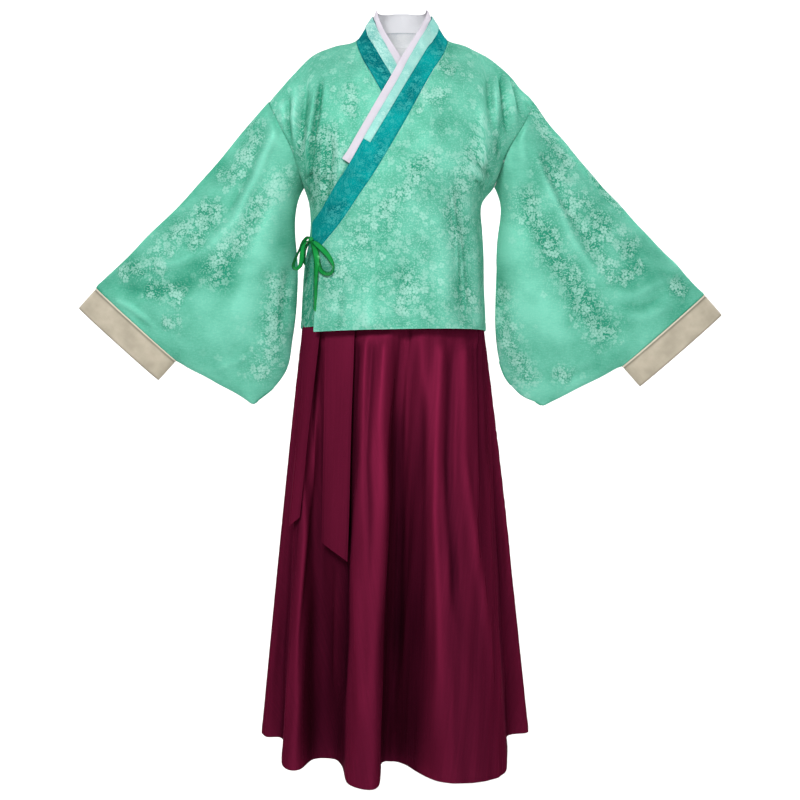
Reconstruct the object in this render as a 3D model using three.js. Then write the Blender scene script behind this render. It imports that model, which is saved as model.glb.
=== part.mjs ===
// A crossover jacket with wide hanging sleeves over a long pleated skirt, worn and filled out, with
// nobody inside. Millimetres, +Z up, the front faces -Y and the wearer's left is +X. The origin is
// the middle of the neck, level with the two points where the shoulder seams meet the collar.
// Every piece of cloth is a thin closed wall. Sewn edges lie SEAM apart.
import * as THREE from 'three';

// ---------------------------------------------------------------- driving dimensions

const SEAM = 0.4;             // gap between two sewn edges, and between two layers
const CLOTH = 1.5;            // wall of the jacket, collar, cuffs and skirt
const STRIP = 1.2;            // wall of the two narrow collar strips
const LINING = 1.0;           // wall of the lining behind the neck
const RIBBON = 1.0;           // wall of the tie and the sash tails
const WRAP = 6;               // how far the upper front stands off the under front
const RIDGE_ROUND = 100;      // height over which the cloth rounds off below the shoulder line
const UNDERARM = -268;        // height of the underarm points
const ARMHOLE_TOP = -113;     // height of the top of the armhole, on the shoulder line
const ARM_DEPTH = 70;         // half depth of the armhole
const SIDE_POWER = 2.3;       // how square the body's level sections are
const BACK_STAND = 10;        // how much higher the neckline lies behind the neck
const LINING_FOOT = -80;      // how far the lining behind the neck reaches down
const CUFF_WIDTH = 50;
const HIP = { z: -535, x: -15.7, half: 168.2, depth: 105 };     // the skirt at the jacket's hem
const WAIST = { z: -400, x: -12, half: 127, depth: 84 };      // the skirt's top edge
const WAISTBAND = 38;         // height of the waistband
const HEM = -1304;            // the skirt's hem

// The jacket's body at a height: its left and right edges seen from the front, and the half depths
// of its front and back on the middle line. Above the underarm the edges are the armhole seams.
const BODY = [
  { z: -545, left: -187, right: 155.5, front: 120, back: 112 },
  { z: -457, left: -182.5, right: 152.5, front: 115, back: 100 },
  { z: -408, left: -178.5, right: 151, front: 114, back: 94 },
  { z: -350, left: -168, right: 149, front: 114, back: 93 },
  { z: -300, left: -171, right: 148.5, front: 116, back: 98 },
  { z: -268, left: -181, right: 171.5, front: 117, back: 103 },
  { z: -215, left: -197, right: 191, front: 113, back: 106 },
  { z: -165, left: -221, right: 221, front: 106, back: 104 },
  { z: -113, left: -243, right: 243, front: 96, back: 99 },
  { z: -24, left: -243, right: 243, front: 76, back: 80 },
  { z: 10, left: -243, right: 243, front: 72, back: 74 },
  { z: 68, left: -243, right: 243, front: 68, back: 66 },
];

// The line where front and back meet, from the middle of the neck out to the armhole.
const SHOULDER = [
  { x: 0, z: 100 },
  { x: 25, z: 88 },
  { x: 47.5, z: 57 },
  { x: 53, z: 44 },
  { x: 66, z: 24 },
  { x: 83, z: 0 },
  { x: 125, z: -11 },
  { x: 165, z: -30 },
  { x: 200, z: -62 },
  { x: 224, z: -92 },
  { x: 243, z: -113 },
];

// The collar from the side of the neck down the front: the sewn edge, the fold edge of the wide band,
// and the free edge of the innermost strip, with the width of the middle strip. The other side mirrors it.
const COLLAR = [
  { run: 0, sewnX: 83, sewnZ: 0, foldX: 53, foldZ: 44, freeX: 47.5, freeZ: 57, middle: 23.5 },
  { run: 11, sewnX: 82.3, sewnZ: -10, foldX: 51, foldZ: 29, freeX: 44.5, freeZ: 37, middle: 21 },
  { run: 22, sewnX: 80.5, sewnZ: -20, foldX: 42, foldZ: 2, freeX: 34, freeZ: 8, middle: 20 },
  { run: 57, sewnX: 69, sewnZ: -53, foldX: 27, foldZ: -28, freeX: 17, freeZ: -22, middle: 19.5 },
  { run: 87, sewnX: 54, sewnZ: -80, foldX: 13, foldZ: -54, freeX: 2, freeZ: -47, middle: 19 },
  { run: 128, sewnX: 35, sewnZ: -115, foldX: -5, foldZ: -91, freeX: -17, freeZ: -83, middle: 16 },
  { run: 190, sewnX: 6, sewnZ: -170, foldX: -35, foldZ: -145, freeX: -47, freeZ: -137, middle: 15.5 },
  { run: 256, sewnX: -26.5, sewnZ: -227, foldX: -67, foldZ: -202, freeX: -79.5, freeZ: -195, middle: 14.5 },
  { run: 305, sewnX: -52, sewnZ: -269, foldX: -91, foldZ: -245, freeX: -103, freeZ: -237, middle: 14 },
  { run: 345, sewnX: -75, sewnZ: -302, foldX: -112.5, foldZ: -277, freeX: -125, freeZ: -270, middle: 14 },
  { run: 400, sewnX: -106, sewnZ: -347, foldX: -141, foldZ: -322, freeX: -153, freeZ: -314, middle: 14 },
  { run: 450, sewnX: -139.5, sewnZ: -387, foldX: -158, foldZ: -341, freeX: -170, freeZ: -333, middle: 14 },
];

// Where the collar is drawn, as runs down each front and turns round the back of the neck.
const OVER_RUNS = [0, 3, 10, 22, 38, 57, 87, 128, 158, 190, 223, 256, 305, 345, 400, 450];
const UNDER_RUNS = [0, 3, 10, 22, 38, 57, 87, 128, 190, 256, 305, 335];
const BACK_TURNS = [18, 36, 54, 72, 90, 108, 126, 144, 162];
const EDGE_STRIP_END = 305;
const MIDDLE_STRIP_END = 256;
const UNDER_STRIPS_END = 190;
const BAND_POINT = { x: -157, z: -375 };    // lowest corner of the wide band's upright end

// The hanging edge of each front, at the collar's end and at the hem.
const OVER_EDGE = { top: -146, hem: -153 };
const UNDER_EDGE = { top: 76, hem: 95 };

// Each sleeve from armhole (0) to cuff seam (1): its upper and lower edge, and its half depth.
const LEFT_SLEEVE = [
  { s: 0, upX: 243, upZ: -113, lowX: 171.5, lowZ: -268, half: 66 },
  { s: 0.07, upX: 264, upZ: -142, lowX: 181, lowZ: -300, half: 60 },
  { s: 0.16, upX: 294, upZ: -177, lowX: 181, lowZ: -349, half: 55 },
  { s: 0.32, upX: 345, upZ: -238, lowX: 173, lowZ: -456, half: 50 },
  { s: 0.46, upX: 390, upZ: -289, lowX: 175, lowZ: -550, half: 45 },
  { s: 0.57, upX: 425, upZ: -326, lowX: 188, lowZ: -614, half: 42 },
  { s: 0.65, upX: 450, upZ: -353, lowX: 214, lowZ: -652, half: 39 },
  { s: 0.76, upX: 486, upZ: -390, lowX: 260, lowZ: -673, half: 34 },
  { s: 0.88, upX: 523, upZ: -428, lowX: 336, lowZ: -636, half: 27 },
  { s: 1, upX: 560, upZ: -467, lowX: 408, lowZ: -600, half: 17 },
];
const RIGHT_SLEEVE = [
  { s: 0, upX: -243, upZ: -113, lowX: -181, lowZ: -268, half: 66 },
  { s: 0.07, upX: -264, upZ: -133, lowX: -194, lowZ: -299, half: 60 },
  { s: 0.16, upX: -294, upZ: -168, lowX: -199, lowZ: -345, half: 55 },
  { s: 0.32, upX: -345, upZ: -229, lowX: -194, lowZ: -456, half: 50 },
  { s: 0.46, upX: -390, upZ: -279, lowX: -202, lowZ: -555, half: 45 },
  { s: 0.57, upX: -425, upZ: -316, lowX: -211, lowZ: -604, half: 42 },
  { s: 0.65, upX: -450, upZ: -342, lowX: -234, lowZ: -638, half: 39 },
  { s: 0.76, upX: -486, upZ: -378, lowX: -273, lowZ: -669, half: 34 },
  { s: 0.88, upX: -525, upZ: -415, lowX: -345, lowZ: -631, half: 27 },
  { s: 1, upX: -564, upZ: -455, lowX: -416, lowZ: -589, half: 17 },
];
const SLEEVE_STEPS = [0, 0.05, 0.11, 0.19, 0.29, 0.39, 0.48, 0.56, 0.63, 0.7, 0.76, 0.84, 0.92, 1];
const ACROSS_SLEEVE = [0, 0.04, 0.13, 0.27, 0.43, 0.6, 0.77, 0.91, 1];

// The skirt's folds from the left side seam round the front to the right one: where each lies at the
// hem, and its turn in degrees round the hip. out is how far it stands off the hip there.
const SKIRT_FRONT = [
  { x: -270, y: 100, turn: 0, out: 0 },
  { x: -258, y: 72, turn: 3, out: 0 },
  { x: -230, y: 64, turn: 6, out: -1 },
  { x: -217, y: 0, turn: 10, out: -1 },
  { x: -211, y: -112, turn: 15, out: 0 },
  { x: -198, y: -148, turn: 20, out: 1 },
  { x: -177, y: -148, turn: 26, out: 1 },
  { x: -156, y: -84, turn: 32.5, out: -2 },
  { x: -124, y: -80, turn: 42, out: -3 },
  { x: -106, y: -122, turn: 63, out: -4 },
  { x: -90, y: -228, turn: 70, out: 0 },
  { x: -58, y: -266, turn: 73.5, out: 3 },
  { x: -38, y: -240, turn: 76.5, out: 2 },
  { x: -35, y: -115, turn: 80, out: 0 },
  { x: -17, y: -96, turn: 98.5, out: -5 },
  { x: 2, y: -112, turn: 103.5, out: -5 },
  { x: 18, y: -142, turn: 108, out: 0 },
  { x: 52, y: -209, turn: 115, out: 3 },
  { x: 80, y: -226, turn: 121, out: 3 },
  { x: 94, y: -214, turn: 128, out: -1 },
  { x: 112, y: -226, turn: 133, out: 1 },
  { x: 136, y: -212, turn: 141, out: 1 },
  { x: 150, y: -190, turn: 148, out: -2 },
  { x: 166, y: -194, turn: 154, out: 1 },
  { x: 181, y: -158, turn: 160, out: 0 },
  { x: 192, y: -40, turn: 167, out: -1 },
  { x: 203, y: 76, turn: 173, out: -1 },
  { x: 240, y: 100, turn: 177, out: 0 },
  { x: 247, y: 118, turn: 180, out: 0 },
];

// The same folds round the back, from the right side seam to the left one.
const SKIRT_BACK = [
  { x: 247, y: 118, turn: 180, out: 0 },
  { x: 236, y: 168, turn: 190, out: 0 },
  { x: 206, y: 186, turn: 199, out: 0 },
  { x: 186, y: 160, turn: 208, out: -2 },
  { x: 160, y: 214, turn: 217, out: 1 },
  { x: 126, y: 228, turn: 226, out: 2 },
  { x: 106, y: 178, turn: 236, out: -3 },
  { x: 74, y: 232, turn: 246, out: 2 },
  { x: 38, y: 240, turn: 256, out: 3 },
  { x: 20, y: 188, turn: 267, out: -4 },
  { x: -18, y: 242, turn: 278, out: 2 },
  { x: -56, y: 236, turn: 289, out: 3 },
  { x: -74, y: 186, turn: 299, out: -3 },
  { x: -106, y: 232, turn: 309, out: 2 },
  { x: -140, y: 222, turn: 319, out: 1 },
  { x: -160, y: 170, turn: 328, out: -3 },
  { x: -192, y: 196, turn: 337, out: 1 },
  { x: -226, y: 176, turn: 345, out: 0 },
  { x: -250, y: 140, turn: 353, out: 0 },
  { x: -270, y: 100, turn: 360, out: 0 },
];
const SKIRT_LEVELS = [-400, -440, -487, -535, -640, -760, -880, -1000, -1110, -1210, -1304];

// The two sash tails that hang from the waist: their turns round the skirt above the hip, and the
// three points across each cut end, in the same order.
const SASH_CLEAR = { waist: 2.5, hip: 4.5 };    // how far each tail's face stands off the skirt
const SASH_TOP = -404;
const FRONT_SASH = {
  turns: [46, 57, 67],
  end: [{ x: -142, y: -92, z: -916 }, { x: -119, y: -117, z: -930 }, { x: -95, y: -142, z: -944 }],
};
const SIDE_SASH = {
  turns: [18.5, 29, 41],
  end: [{ x: -204, y: -48, z: -896 }, { x: -198, y: -83, z: -885 }, { x: -182, y: -101, z: -870 }],
};

// The tie: the knot, and each strand's middle line with the way its width lies.
const KNOT = { x: -163.5, y: -68, z: -374, half: 7 };
const RIBBON_WIDTH = 8;
const STRANDS = [
  {
    name: 'tie_loop_outer',
    across: { x: 0.3, y: 0.95, z: 0 },
    line: [
      [-170.5, -67, -371], [-178, -65, -379], [-184, -64, -391], [-190, -64, -405], [-196, -64, -417],
      [-193, -64, -426], [-187, -64, -424], [-182, -64, -416], [-179, -64, -404], [-177, -65, -392],
      [-171, -66, -379],
    ],
  },
  {
    name: 'tie_loop_inner',
    across: { x: 0.3, y: 0.95, z: 0 },
    line: [
      [-155.5, -74, -378], [-149, -87, -388], [-138, -97, -403], [-127, -105, -417], [-121, -109, -428],
      [-121, -110, -438], [-128, -106, -444], [-138, -99, -441], [-144, -94, -434], [-147, -91, -421],
      [-150, -87, -405], [-155, -80, -391], [-159, -74, -382.5],
    ],
  },
  {
    name: 'tie_tail_front',
    across: { x: 0.85, y: -0.53, z: 0 },
    line: [
      [-162.5, -68, -382], [-157.5, -68.5, -396], [-154.5, -71, -412], [-153, -74, -431], [-153, -75, -449],
      [-154, -76, -468], [-155, -76, -487], [-156, -77, -507], [-157, -78, -529],
    ],
  },
  {
    name: 'tie_tail_side',
    across: { x: 0.3, y: 0.95, z: 0 },
    line: [
      [-166.5, -63.5, -381.2], [-170.5, -58.5, -388], [-175, -55.5, -396], [-178.5, -54.5, -405],
      [-179, -54.5, -416],
    ],
  },
];

// ---------------------------------------------------------------- working functions

const clamp01 = (value) => Math.min(1, Math.max(0, value));

function smoothStep(from, to, value) {
  const t = clamp01((value - from) / (to - from));
  return t * t * (3 - 2 * t);
}

const mix = (a, b, t) => a + (b - a) * t;

// One column of a table at a value of its key column, on a smooth curve through the rows.
function readTable(rows, key, column, at) {
  const last = rows.length - 1;
  if (at <= rows[0][key]) return rows[0][column];
  if (at >= rows[last][key]) return rows[last][column];
  const i = rows.findIndex((row, k) => k < last && rows[k + 1][key] > at);
  const slope = (k) => {
    const low = rows[Math.max(0, k - 1)];
    const high = rows[Math.min(last, k + 1)];
    return (high[column] - low[column]) / (high[key] - low[key]);
  };
  const span = rows[i + 1][key] - rows[i][key];
  const t = (at - rows[i][key]) / span;
  return rows[i][column] * (2 * t ** 3 - 3 * t ** 2 + 1) + slope(i) * span * (t ** 3 - 2 * t ** 2 + t)
    + rows[i + 1][column] * (3 * t ** 2 - 2 * t ** 3) + slope(i + 1) * span * (t ** 3 - t ** 2);
}

const bodyEdge = (edge, z) => readTable(BODY, 'z', edge, z);
const shoulderLine = (x) => readTable(SHOULDER, 'x', 'z', Math.abs(x));

// How far the jacket's cloth stands from the middle plane at a point seen from the front.
function bodyDepth(x, z, face) {
  const left = bodyEdge('left', z);
  const right = bodyEdge('right', z);
  const fromMiddle = Math.min(1, Math.abs(x - (left + right) / 2) / ((right - left) / 2));
  const belowArm = clamp01((-150 - z) / (-150 - UNDERARM));
  const atSeam = ARM_DEPTH * Math.sqrt(1 - belowArm ** 2);
  const fall = mix(0.45, 1.15, smoothStep(UNDERARM, ARMHOLE_TOP, z));
  const down = clamp01((shoulderLine(x) - z) / RIDGE_ROUND);
  const round = Math.sqrt(1 - (1 - down) ** 2);
  const middle = bodyEdge(face, z);
  return round * (atSeam + (middle - atSeam) * (1 - fromMiddle ** SIDE_POWER) ** fall);
}

// The extra stand-off of the upper front, gone at the shoulder and at the side it is sewn to.
function wrapLift(x, z) {
  const offShoulder = smoothStep(0, 60, bodyDepth(x, z, 'front'));
  return WRAP * offShoulder * smoothStep(0, 45, bodyEdge('right', z) - x);
}

// A point of the jacket with its outward normal. lift moves it out along the normal.
function onBody(x, z, face, lift = 0) {
  const step = 1.5;
  const slopeX = (bodyDepth(x + step, z, face) - bodyDepth(x - step, z, face)) / (2 * step);
  const slopeZ = (bodyDepth(x, z + step, face) - bodyDepth(x, z - step, face)) / (2 * step);
  const out = face === 'front' ? -1 : 1;
  const normal = new THREE.Vector3(-slopeX, out, -slopeZ).normalize();
  const point = new THREE.Vector3(x, out * (bodyDepth(x, z, face) + SEAM / 2), z);
  return { point: point.addScaledVector(normal, lift), normal };
}

// At a sewn edge the wall is cut square to the seam, so that the two pieces stay SEAM apart.
function squareTo(node, across) {
  const away = across.clone().normalize();
  node.normal.addScaledVector(away, -node.normal.dot(away)).normalize();
  return node;
}

const MIDDLE_PLANE = new THREE.Vector3(0, 1, 0);

const vector = ({ x, y, z }) => new THREE.Vector3(x, y, z);

// A closed wall from rows of outer points with normals. A looped wall joins its row ends.
function wall(rows, thickness, looped = false) {
  const wide = rows[0].length;
  const positions = [];
  for (const depth of [0, thickness]) {
    for (const { point, normal } of rows.flat()) {
      positions.push(...point.clone().addScaledVector(normal, -depth).toArray());
    }
  }
  const row = Math.floor(rows.length / 2);
  const column = Math.floor(wide / 2);
  const here = rows[row][column];
  const along = new THREE.Vector3().subVectors(here.point, rows[row - 1][column].point);
  const over = new THREE.Vector3().subVectors(here.point, rows[row][column - 1].point);
  const facesOut = over.cross(along).dot(here.normal) > 0;
  const index = [];
  const quad = (a, b, c, d) => index.push(...(facesOut ? [a, b, c, a, c, d] : [a, c, b, a, d, c]));
  const outer = (i, k) => i * wide + (k % wide);
  const inner = (i, k) => outer(i, k) + rows.length * wide;
  const columns = looped ? wide : wide - 1;
  for (let i = 0; i < rows.length - 1; i += 1) {
    for (let k = 0; k < columns; k += 1) {
      quad(outer(i, k), outer(i, k + 1), outer(i + 1, k + 1), outer(i + 1, k));
      quad(inner(i, k), inner(i + 1, k), inner(i + 1, k + 1), inner(i, k + 1));
    }
    if (!looped) {
      quad(inner(i, 0), outer(i, 0), outer(i + 1, 0), inner(i + 1, 0));
      quad(outer(i, columns), inner(i, columns), inner(i + 1, columns), outer(i + 1, columns));
    }
  }
  const end = rows.length - 1;
  for (let k = 0; k < columns; k += 1) {
    quad(inner(0, k), inner(0, k + 1), outer(0, k + 1), outer(0, k));
    quad(outer(end, k), outer(end, k + 1), inner(end, k + 1), inner(end, k));
  }
  const geometry = new THREE.BufferGeometry();
  geometry.setAttribute('position', new THREE.Float32BufferAttribute(positions, 3));
  geometry.setIndex(index);
  return geometry;
}

// Outward normals of a grid of plain points, from its neighbours, facing away from a middle point.
function withNormals(points, looped, middleOf) {
  return points.map((row, i) => row.map((point, k) => {
    const wide = row.length;
    const before = looped ? row[(k + wide - 1) % wide] : row[Math.max(0, k - 1)];
    const after = looped ? row[(k + 1) % wide] : row[Math.min(wide - 1, k + 1)];
    const above = points[Math.max(0, i - 1)][k];
    const below = points[Math.min(points.length - 1, i + 1)][k];
    const over = new THREE.Vector3().subVectors(after, before);
    const along = new THREE.Vector3().subVectors(below, above);
    const normal = over.cross(along).normalize();
    if (normal.dot(new THREE.Vector3().subVectors(point, middleOf(i))) < 0) normal.negate();
    return { point, normal };
  }));
}

// Fractions of the length along a line of flat points.
function fractions(line) {
  const run = [0];
  for (let k = 1; k < line.length; k += 1) run.push(run[k - 1] + line[k].distanceTo(line[k - 1]));
  return run.map((length) => length / run[run.length - 1]);
}

const flat = (x, z) => new THREE.Vector2(x, z);

// A panel cut between four edges, as rows of flat points from the hem up. spread sets where its
// columns meet the hem, closer together at a side seam because the body turns there.
function cutPanel({ hemStart, hemEnd, top, sideStart, sideEnd, spread }) {
  const across = fractions(top);
  const up = fractions(sideEnd);
  const upStart = sideStart ?? sideEnd.map((point, i) => hemStart.clone().lerp(top[0], up[i]));
  return up.map((v, i) => across.map((u, k) => {
    const low = hemStart.clone().lerp(hemEnd, spread(u));
    const between = low.multiplyScalar(1 - v).addScaledVector(top[k], v);
    between.addScaledVector(upStart[i], 1 - u).addScaledVector(sideEnd[i], u);
    between.addScaledVector(hemStart, -(1 - u) * (1 - v)).addScaledVector(hemEnd, -u * (1 - v));
    return between.addScaledVector(top[0], -(1 - u) * v).addScaledVector(top[top.length - 1], -u * v);
  }));
}

// ---------------------------------------------------------------- seams of the jacket

const SIDE_HEIGHTS = [-535, -470, -405, -350, -305];

// The side seam and armhole of one side, from the hem up to the shoulder line.
function sideLine(edge) {
  const side = SIDE_HEIGHTS.map((z) => flat(bodyEdge(edge, z), z));
  return side.concat(armhole(edge).reverse());
}

function armhole(edge) {
  return ACROSS_SLEEVE.map((w) => {
    const z = mix(ARMHOLE_TOP, UNDERARM, w);
    return flat(bodyEdge(edge, z), z);
  });
}

const SHOULDER_X = [120, 160, 197, 223, 243];

function shoulderPoints(sign) {
  return SHOULDER_X.map((x) => flat(sign * x, shoulderLine(x)));
}

// Where the panels' shoulder seam meets the collar.
function neckPoint(sign) {
  const x = COLLAR[0].sewnX + SEAM;
  return flat(sign * x, shoulderLine(x));
}

// Square cut of the walls at the side seam and round the armhole.
function squareSide(rows, column, edge) {
  const line = sideLine(edge);
  rows.forEach((row, i) => {
    const inArmhole = i >= SIDE_HEIGHTS.length + 1;
    const before = line[Math.max(0, i - 1)];
    const after = line[Math.min(line.length - 1, i + 1)];
    const across = new THREE.Vector3(after.y - before.y, 0, before.x - after.x);
    squareTo(row[column], inArmhole ? across : MIDDLE_PLANE);
  });
}

// ---------------------------------------------------------------- the collar's lines

function toward(from, to, distance) {
  const way = to.clone().sub(from).normalize();
  return from.clone().addScaledVector(way, distance);
}

// One station of the front collar. side is 1 on the upper front, -1 on the mirrored under front.
function frontStation(run, side) {
  const at = (column) => readTable(COLLAR, 'run', column, run);
  return {
    run,
    side,
    face: 'front',
    sewn: flat(side * at('sewnX'), at('sewnZ')),
    fold: flat(side * at('foldX'), at('foldZ')),
    free: flat(side * at('freeX'), at('freeZ')),
    middle: at('middle'),
  };
}

// One station behind the neck, by its turn from the upper front's side (0) to the other (180).
function backStation(turn) {
  const angle = THREE.MathUtils.degToRad(turn);
  const start = COLLAR[0];
  const rise = BACK_STAND * Math.sin(angle) ** 2;
  return {
    run: 0,
    side: 1,
    face: 'back',
    sewn: flat(start.sewnX * Math.cos(angle), start.sewnZ + rise),
    fold: flat(start.foldX * Math.cos(angle), start.foldZ + rise),
    free: flat(start.freeX * Math.cos(angle), start.freeZ + rise),
    middle: start.middle - 5 * Math.sin(angle) ** 2,
  };
}

// All stations, from the upper front's lower end round the neck to the under front's end.
function collarStations(overEnd, underEnd) {
  return [
    ...OVER_RUNS.filter((run) => run <= overEnd).reverse().map((run) => frontStation(run, 1)),
    ...BACK_TURNS.map(backStation),
    ...UNDER_RUNS.filter((run) => run <= underEnd).map((run) => frontStation(run, -1)),
  ];
}

// Collar cloth at a flat point. At the side of the neck, front and back meet on the middle plane.
function onCollar(station, reach) {
  const node = onBody(reach.x, reach.y, station.face);
  if (station.face === 'front' && station.run === 0) {
    node.point.y = 0;
    squareTo(node, MIDDLE_PLANE);
  }
  if (station.side === 1 && station.face === 'front') {
    node.point.addScaledVector(node.normal, wrapLift(reach.x, reach.y));
  }
  return node;
}

// The wide band's own points at a station: its sewn edge, the middle strip's edge and its fold edge.
function bandNodes(station) {
  const atEnd = station.side === 1 && station.run === OVER_RUNS.at(-1);
  const inner = toward(station.fold, station.sewn, station.middle);
  const middle = atEnd ? flat(BAND_POINT.x, BAND_POINT.z) : inner;
  return [station.sewn, middle, station.fold].map((reach) => onCollar(station, reach));
}

// The same point moved out by lift, for a layer that lies on the piece or behind it.
function moved({ point, normal }, lift) {
  return { point: point.clone().addScaledVector(normal, lift), normal };
}

// ---------------------------------------------------------------- the pieces

function material(color, roughness) {
  return new THREE.MeshStandardMaterial({ color, roughness, metalness: 0 });
}

const finish = {
  jacket: () => material(0x70c8ab, 0.5),
  wideBand: () => material(0x17a0a0, 0.5),
  middleStrip: () => material(0x9cdee1, 0.5),
  edgeStrip: () => material(0xebe4f0, 0.6),
  lining: () => material(0xcdd4dd, 0.6),
  cuff: () => material(0xbdb49c, 0.6),
  tie: () => material(0x1b924d, 0.45),
  skirt: () => material(0x5e1a32, 0.6),
};

const garment = new THREE.Group();

function sew(name, geometry, look) {
  const mesh = new THREE.Mesh(geometry, look());
  mesh.name = name;
  garment.add(mesh);
}

// The back's rows of points: between the side seams, the armholes, the shoulders and the neckline.
function backRows() {
  const neckline = BACK_TURNS.map(backStation).map(({ sewn, fold }) => toward(sewn, fold, -SEAM));
  const top = [
    ...shoulderPoints(1).reverse(), neckPoint(1), ...neckline, neckPoint(-1), ...shoulderPoints(-1),
  ];
  const right = sideLine('right');
  const left = sideLine('left');
  const spread = (u) => mix(u, 0.5 - 0.5 * Math.cos(Math.PI * u), 0.75);
  const hem = { hemStart: right[0], hemEnd: left[0] };
  const cut = cutPanel({ ...hem, top, sideStart: right, sideEnd: left, spread });
  const rows = cut.map((row) => row.map((p) => onBody(p.x, p.y, 'back')));
  squareSide(rows, 0, 'right');
  squareSide(rows, top.length - 1, 'left');
  rows[rows.length - 1].forEach((node, k) => {
    if (k <= SHOULDER_X.length || k >= top.length - 1 - SHOULDER_X.length) squareTo(node, MIDDLE_PLANE);
  });
  return rows;
}

function makeBack() {
  sew('back', wall(backRows(), CLOTH), finish.jacket);
}

// A front: from its hanging edge to the side seam, up to the shoulder and the collar seam.
function makeFront(name, side, runs, edge, lift) {
  const seam = runs.map((run) => {
    const { sewn, fold } = frontStation(run, side);
    return run === 0 ? neckPoint(side) : toward(sewn, fold, -SEAM);
  });
  const corner = flat(edge.top, seam[seam.length - 1].y - 4);
  const top = [corner, ...seam.reverse(), ...shoulderPoints(side)];
  const line = sideLine(side === 1 ? 'right' : 'left');
  const hem = flat(edge.hem, SIDE_HEIGHTS[0] - 6);
  const spread = (u) => mix(u, Math.sin(u * Math.PI / 2), 0.75);
  const cut = cutPanel({ hemStart: hem, hemEnd: line[0], top, sideEnd: line, spread });
  const rows = cut.map((row) => row.map((p) => onBody(p.x, p.y, 'front', lift(p.x, p.y))));
  squareSide(rows, top.length - 1, side === 1 ? 'right' : 'left');
  rows[rows.length - 1].slice(seam.length).forEach((node) => squareTo(node, MIDDLE_PLANE));
  sew(name, wall(rows, CLOTH), finish.jacket);
}

// The wide band of the collar, its lower end cut upright.
function makeWideBand() {
  const rows = collarStations(OVER_RUNS.at(-1), UNDER_RUNS.at(-1)).map(bandNodes);
  sew('collar_wide_band', wall(rows, CLOTH), finish.wideBand);
}

// The middle strip lies on the wide band along its fold edge.
function makeMiddleStrip() {
  const rows = collarStations(MIDDLE_STRIP_END, UNDER_STRIPS_END).map((station) => (
    bandNodes(station).slice(1).map((node) => moved(node, SEAM + STRIP))
  ));
  sew('collar_middle_strip', wall(rows, STRIP), finish.middleStrip);
}

// The innermost strip is tucked behind the band and shows past its fold edge.
function makeEdgeStrip() {
  const rows = collarStations(EDGE_STRIP_END, UNDER_STRIPS_END).map((station) => {
    const nodes = [...bandNodes(station).slice(1), onCollar(station, station.free)];
    return nodes.map((node) => moved(node, -CLOTH - SEAM));
  });
  sew('collar_edge_strip', wall(rows, STRIP), finish.edgeStrip);
}

// The lining shows behind the neck: it follows the back's and the band's own points, further in.
function makeLining() {
  const turns = BACK_TURNS.slice(1, -1);
  const first = SHOULDER_X.length + 2;
  const panelRows = backRows().map((row) => row.slice(first, first + turns.length));
  const shown = panelRows.filter((row) => row.some((node) => node.point.z > LINING_FOOT));
  const bandRow = turns.map((turn) => {
    const [sewn, near] = bandNodes(backStation(turn));
    const gap = SEAM / sewn.point.distanceTo(near.point);
    return { point: near.point.clone().lerp(sewn.point, gap), normal: near.normal };
  });
  const rows = [...shown, bandRow].map((row) => row.map((node) => moved(node, -CLOTH - SEAM)));
  sew('back_lining', wall(rows, LINING), finish.lining);
}

// Outline of the sleeve's opening at a station: down its front from the upper edge and up its back.
function sleeveLoop(s, side) {
  const at = (column) => readTable(side === 1 ? LEFT_SLEEVE : RIGHT_SLEEVE, 's', column, s);
  const low = flat(at('lowX'), at('lowZ'));
  const top = flat(at('upX'), at('upZ'));
  const hang = smoothStep(0, 0.25, s);
  const toCuff = smoothStep(0.75, 1, s);
  const seam = armhole(side === 1 ? 'right' : 'left');
  const start = [];
  const depths = [];
  ACROSS_SLEEVE.forEach((w, k) => {
    const chord = top.clone().lerp(low, w);
    const bend = seam[k].clone().sub(seam[0].clone().lerp(seam[seam.length - 1], w));
    start.push(chord.addScaledVector(bend, 1 - hang));
    const bag = Math.sqrt(w) * (1 - w) ** 0.8 / 0.42;
    const round = Math.sqrt(4 * w * (1 - w));
    const atArmhole = bodyDepth(seam[k].x, seam[k].y, 'front');
    depths.push(mix(atArmhole, at('half') * mix(bag, round, toCuff), hang));
  });
  const front = start.map((p, k) => new THREE.Vector3(p.x, -depths[k], p.y));
  const back = start.map((p, k) => new THREE.Vector3(p.x, depths[k], p.y)).slice(1, -1).reverse();
  return [...front, ...back];
}

function loopMiddle(loop) {
  const sum = loop.reduce((total, point) => total.add(point), new THREE.Vector3());
  return sum.divideScalar(loop.length);
}

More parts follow.
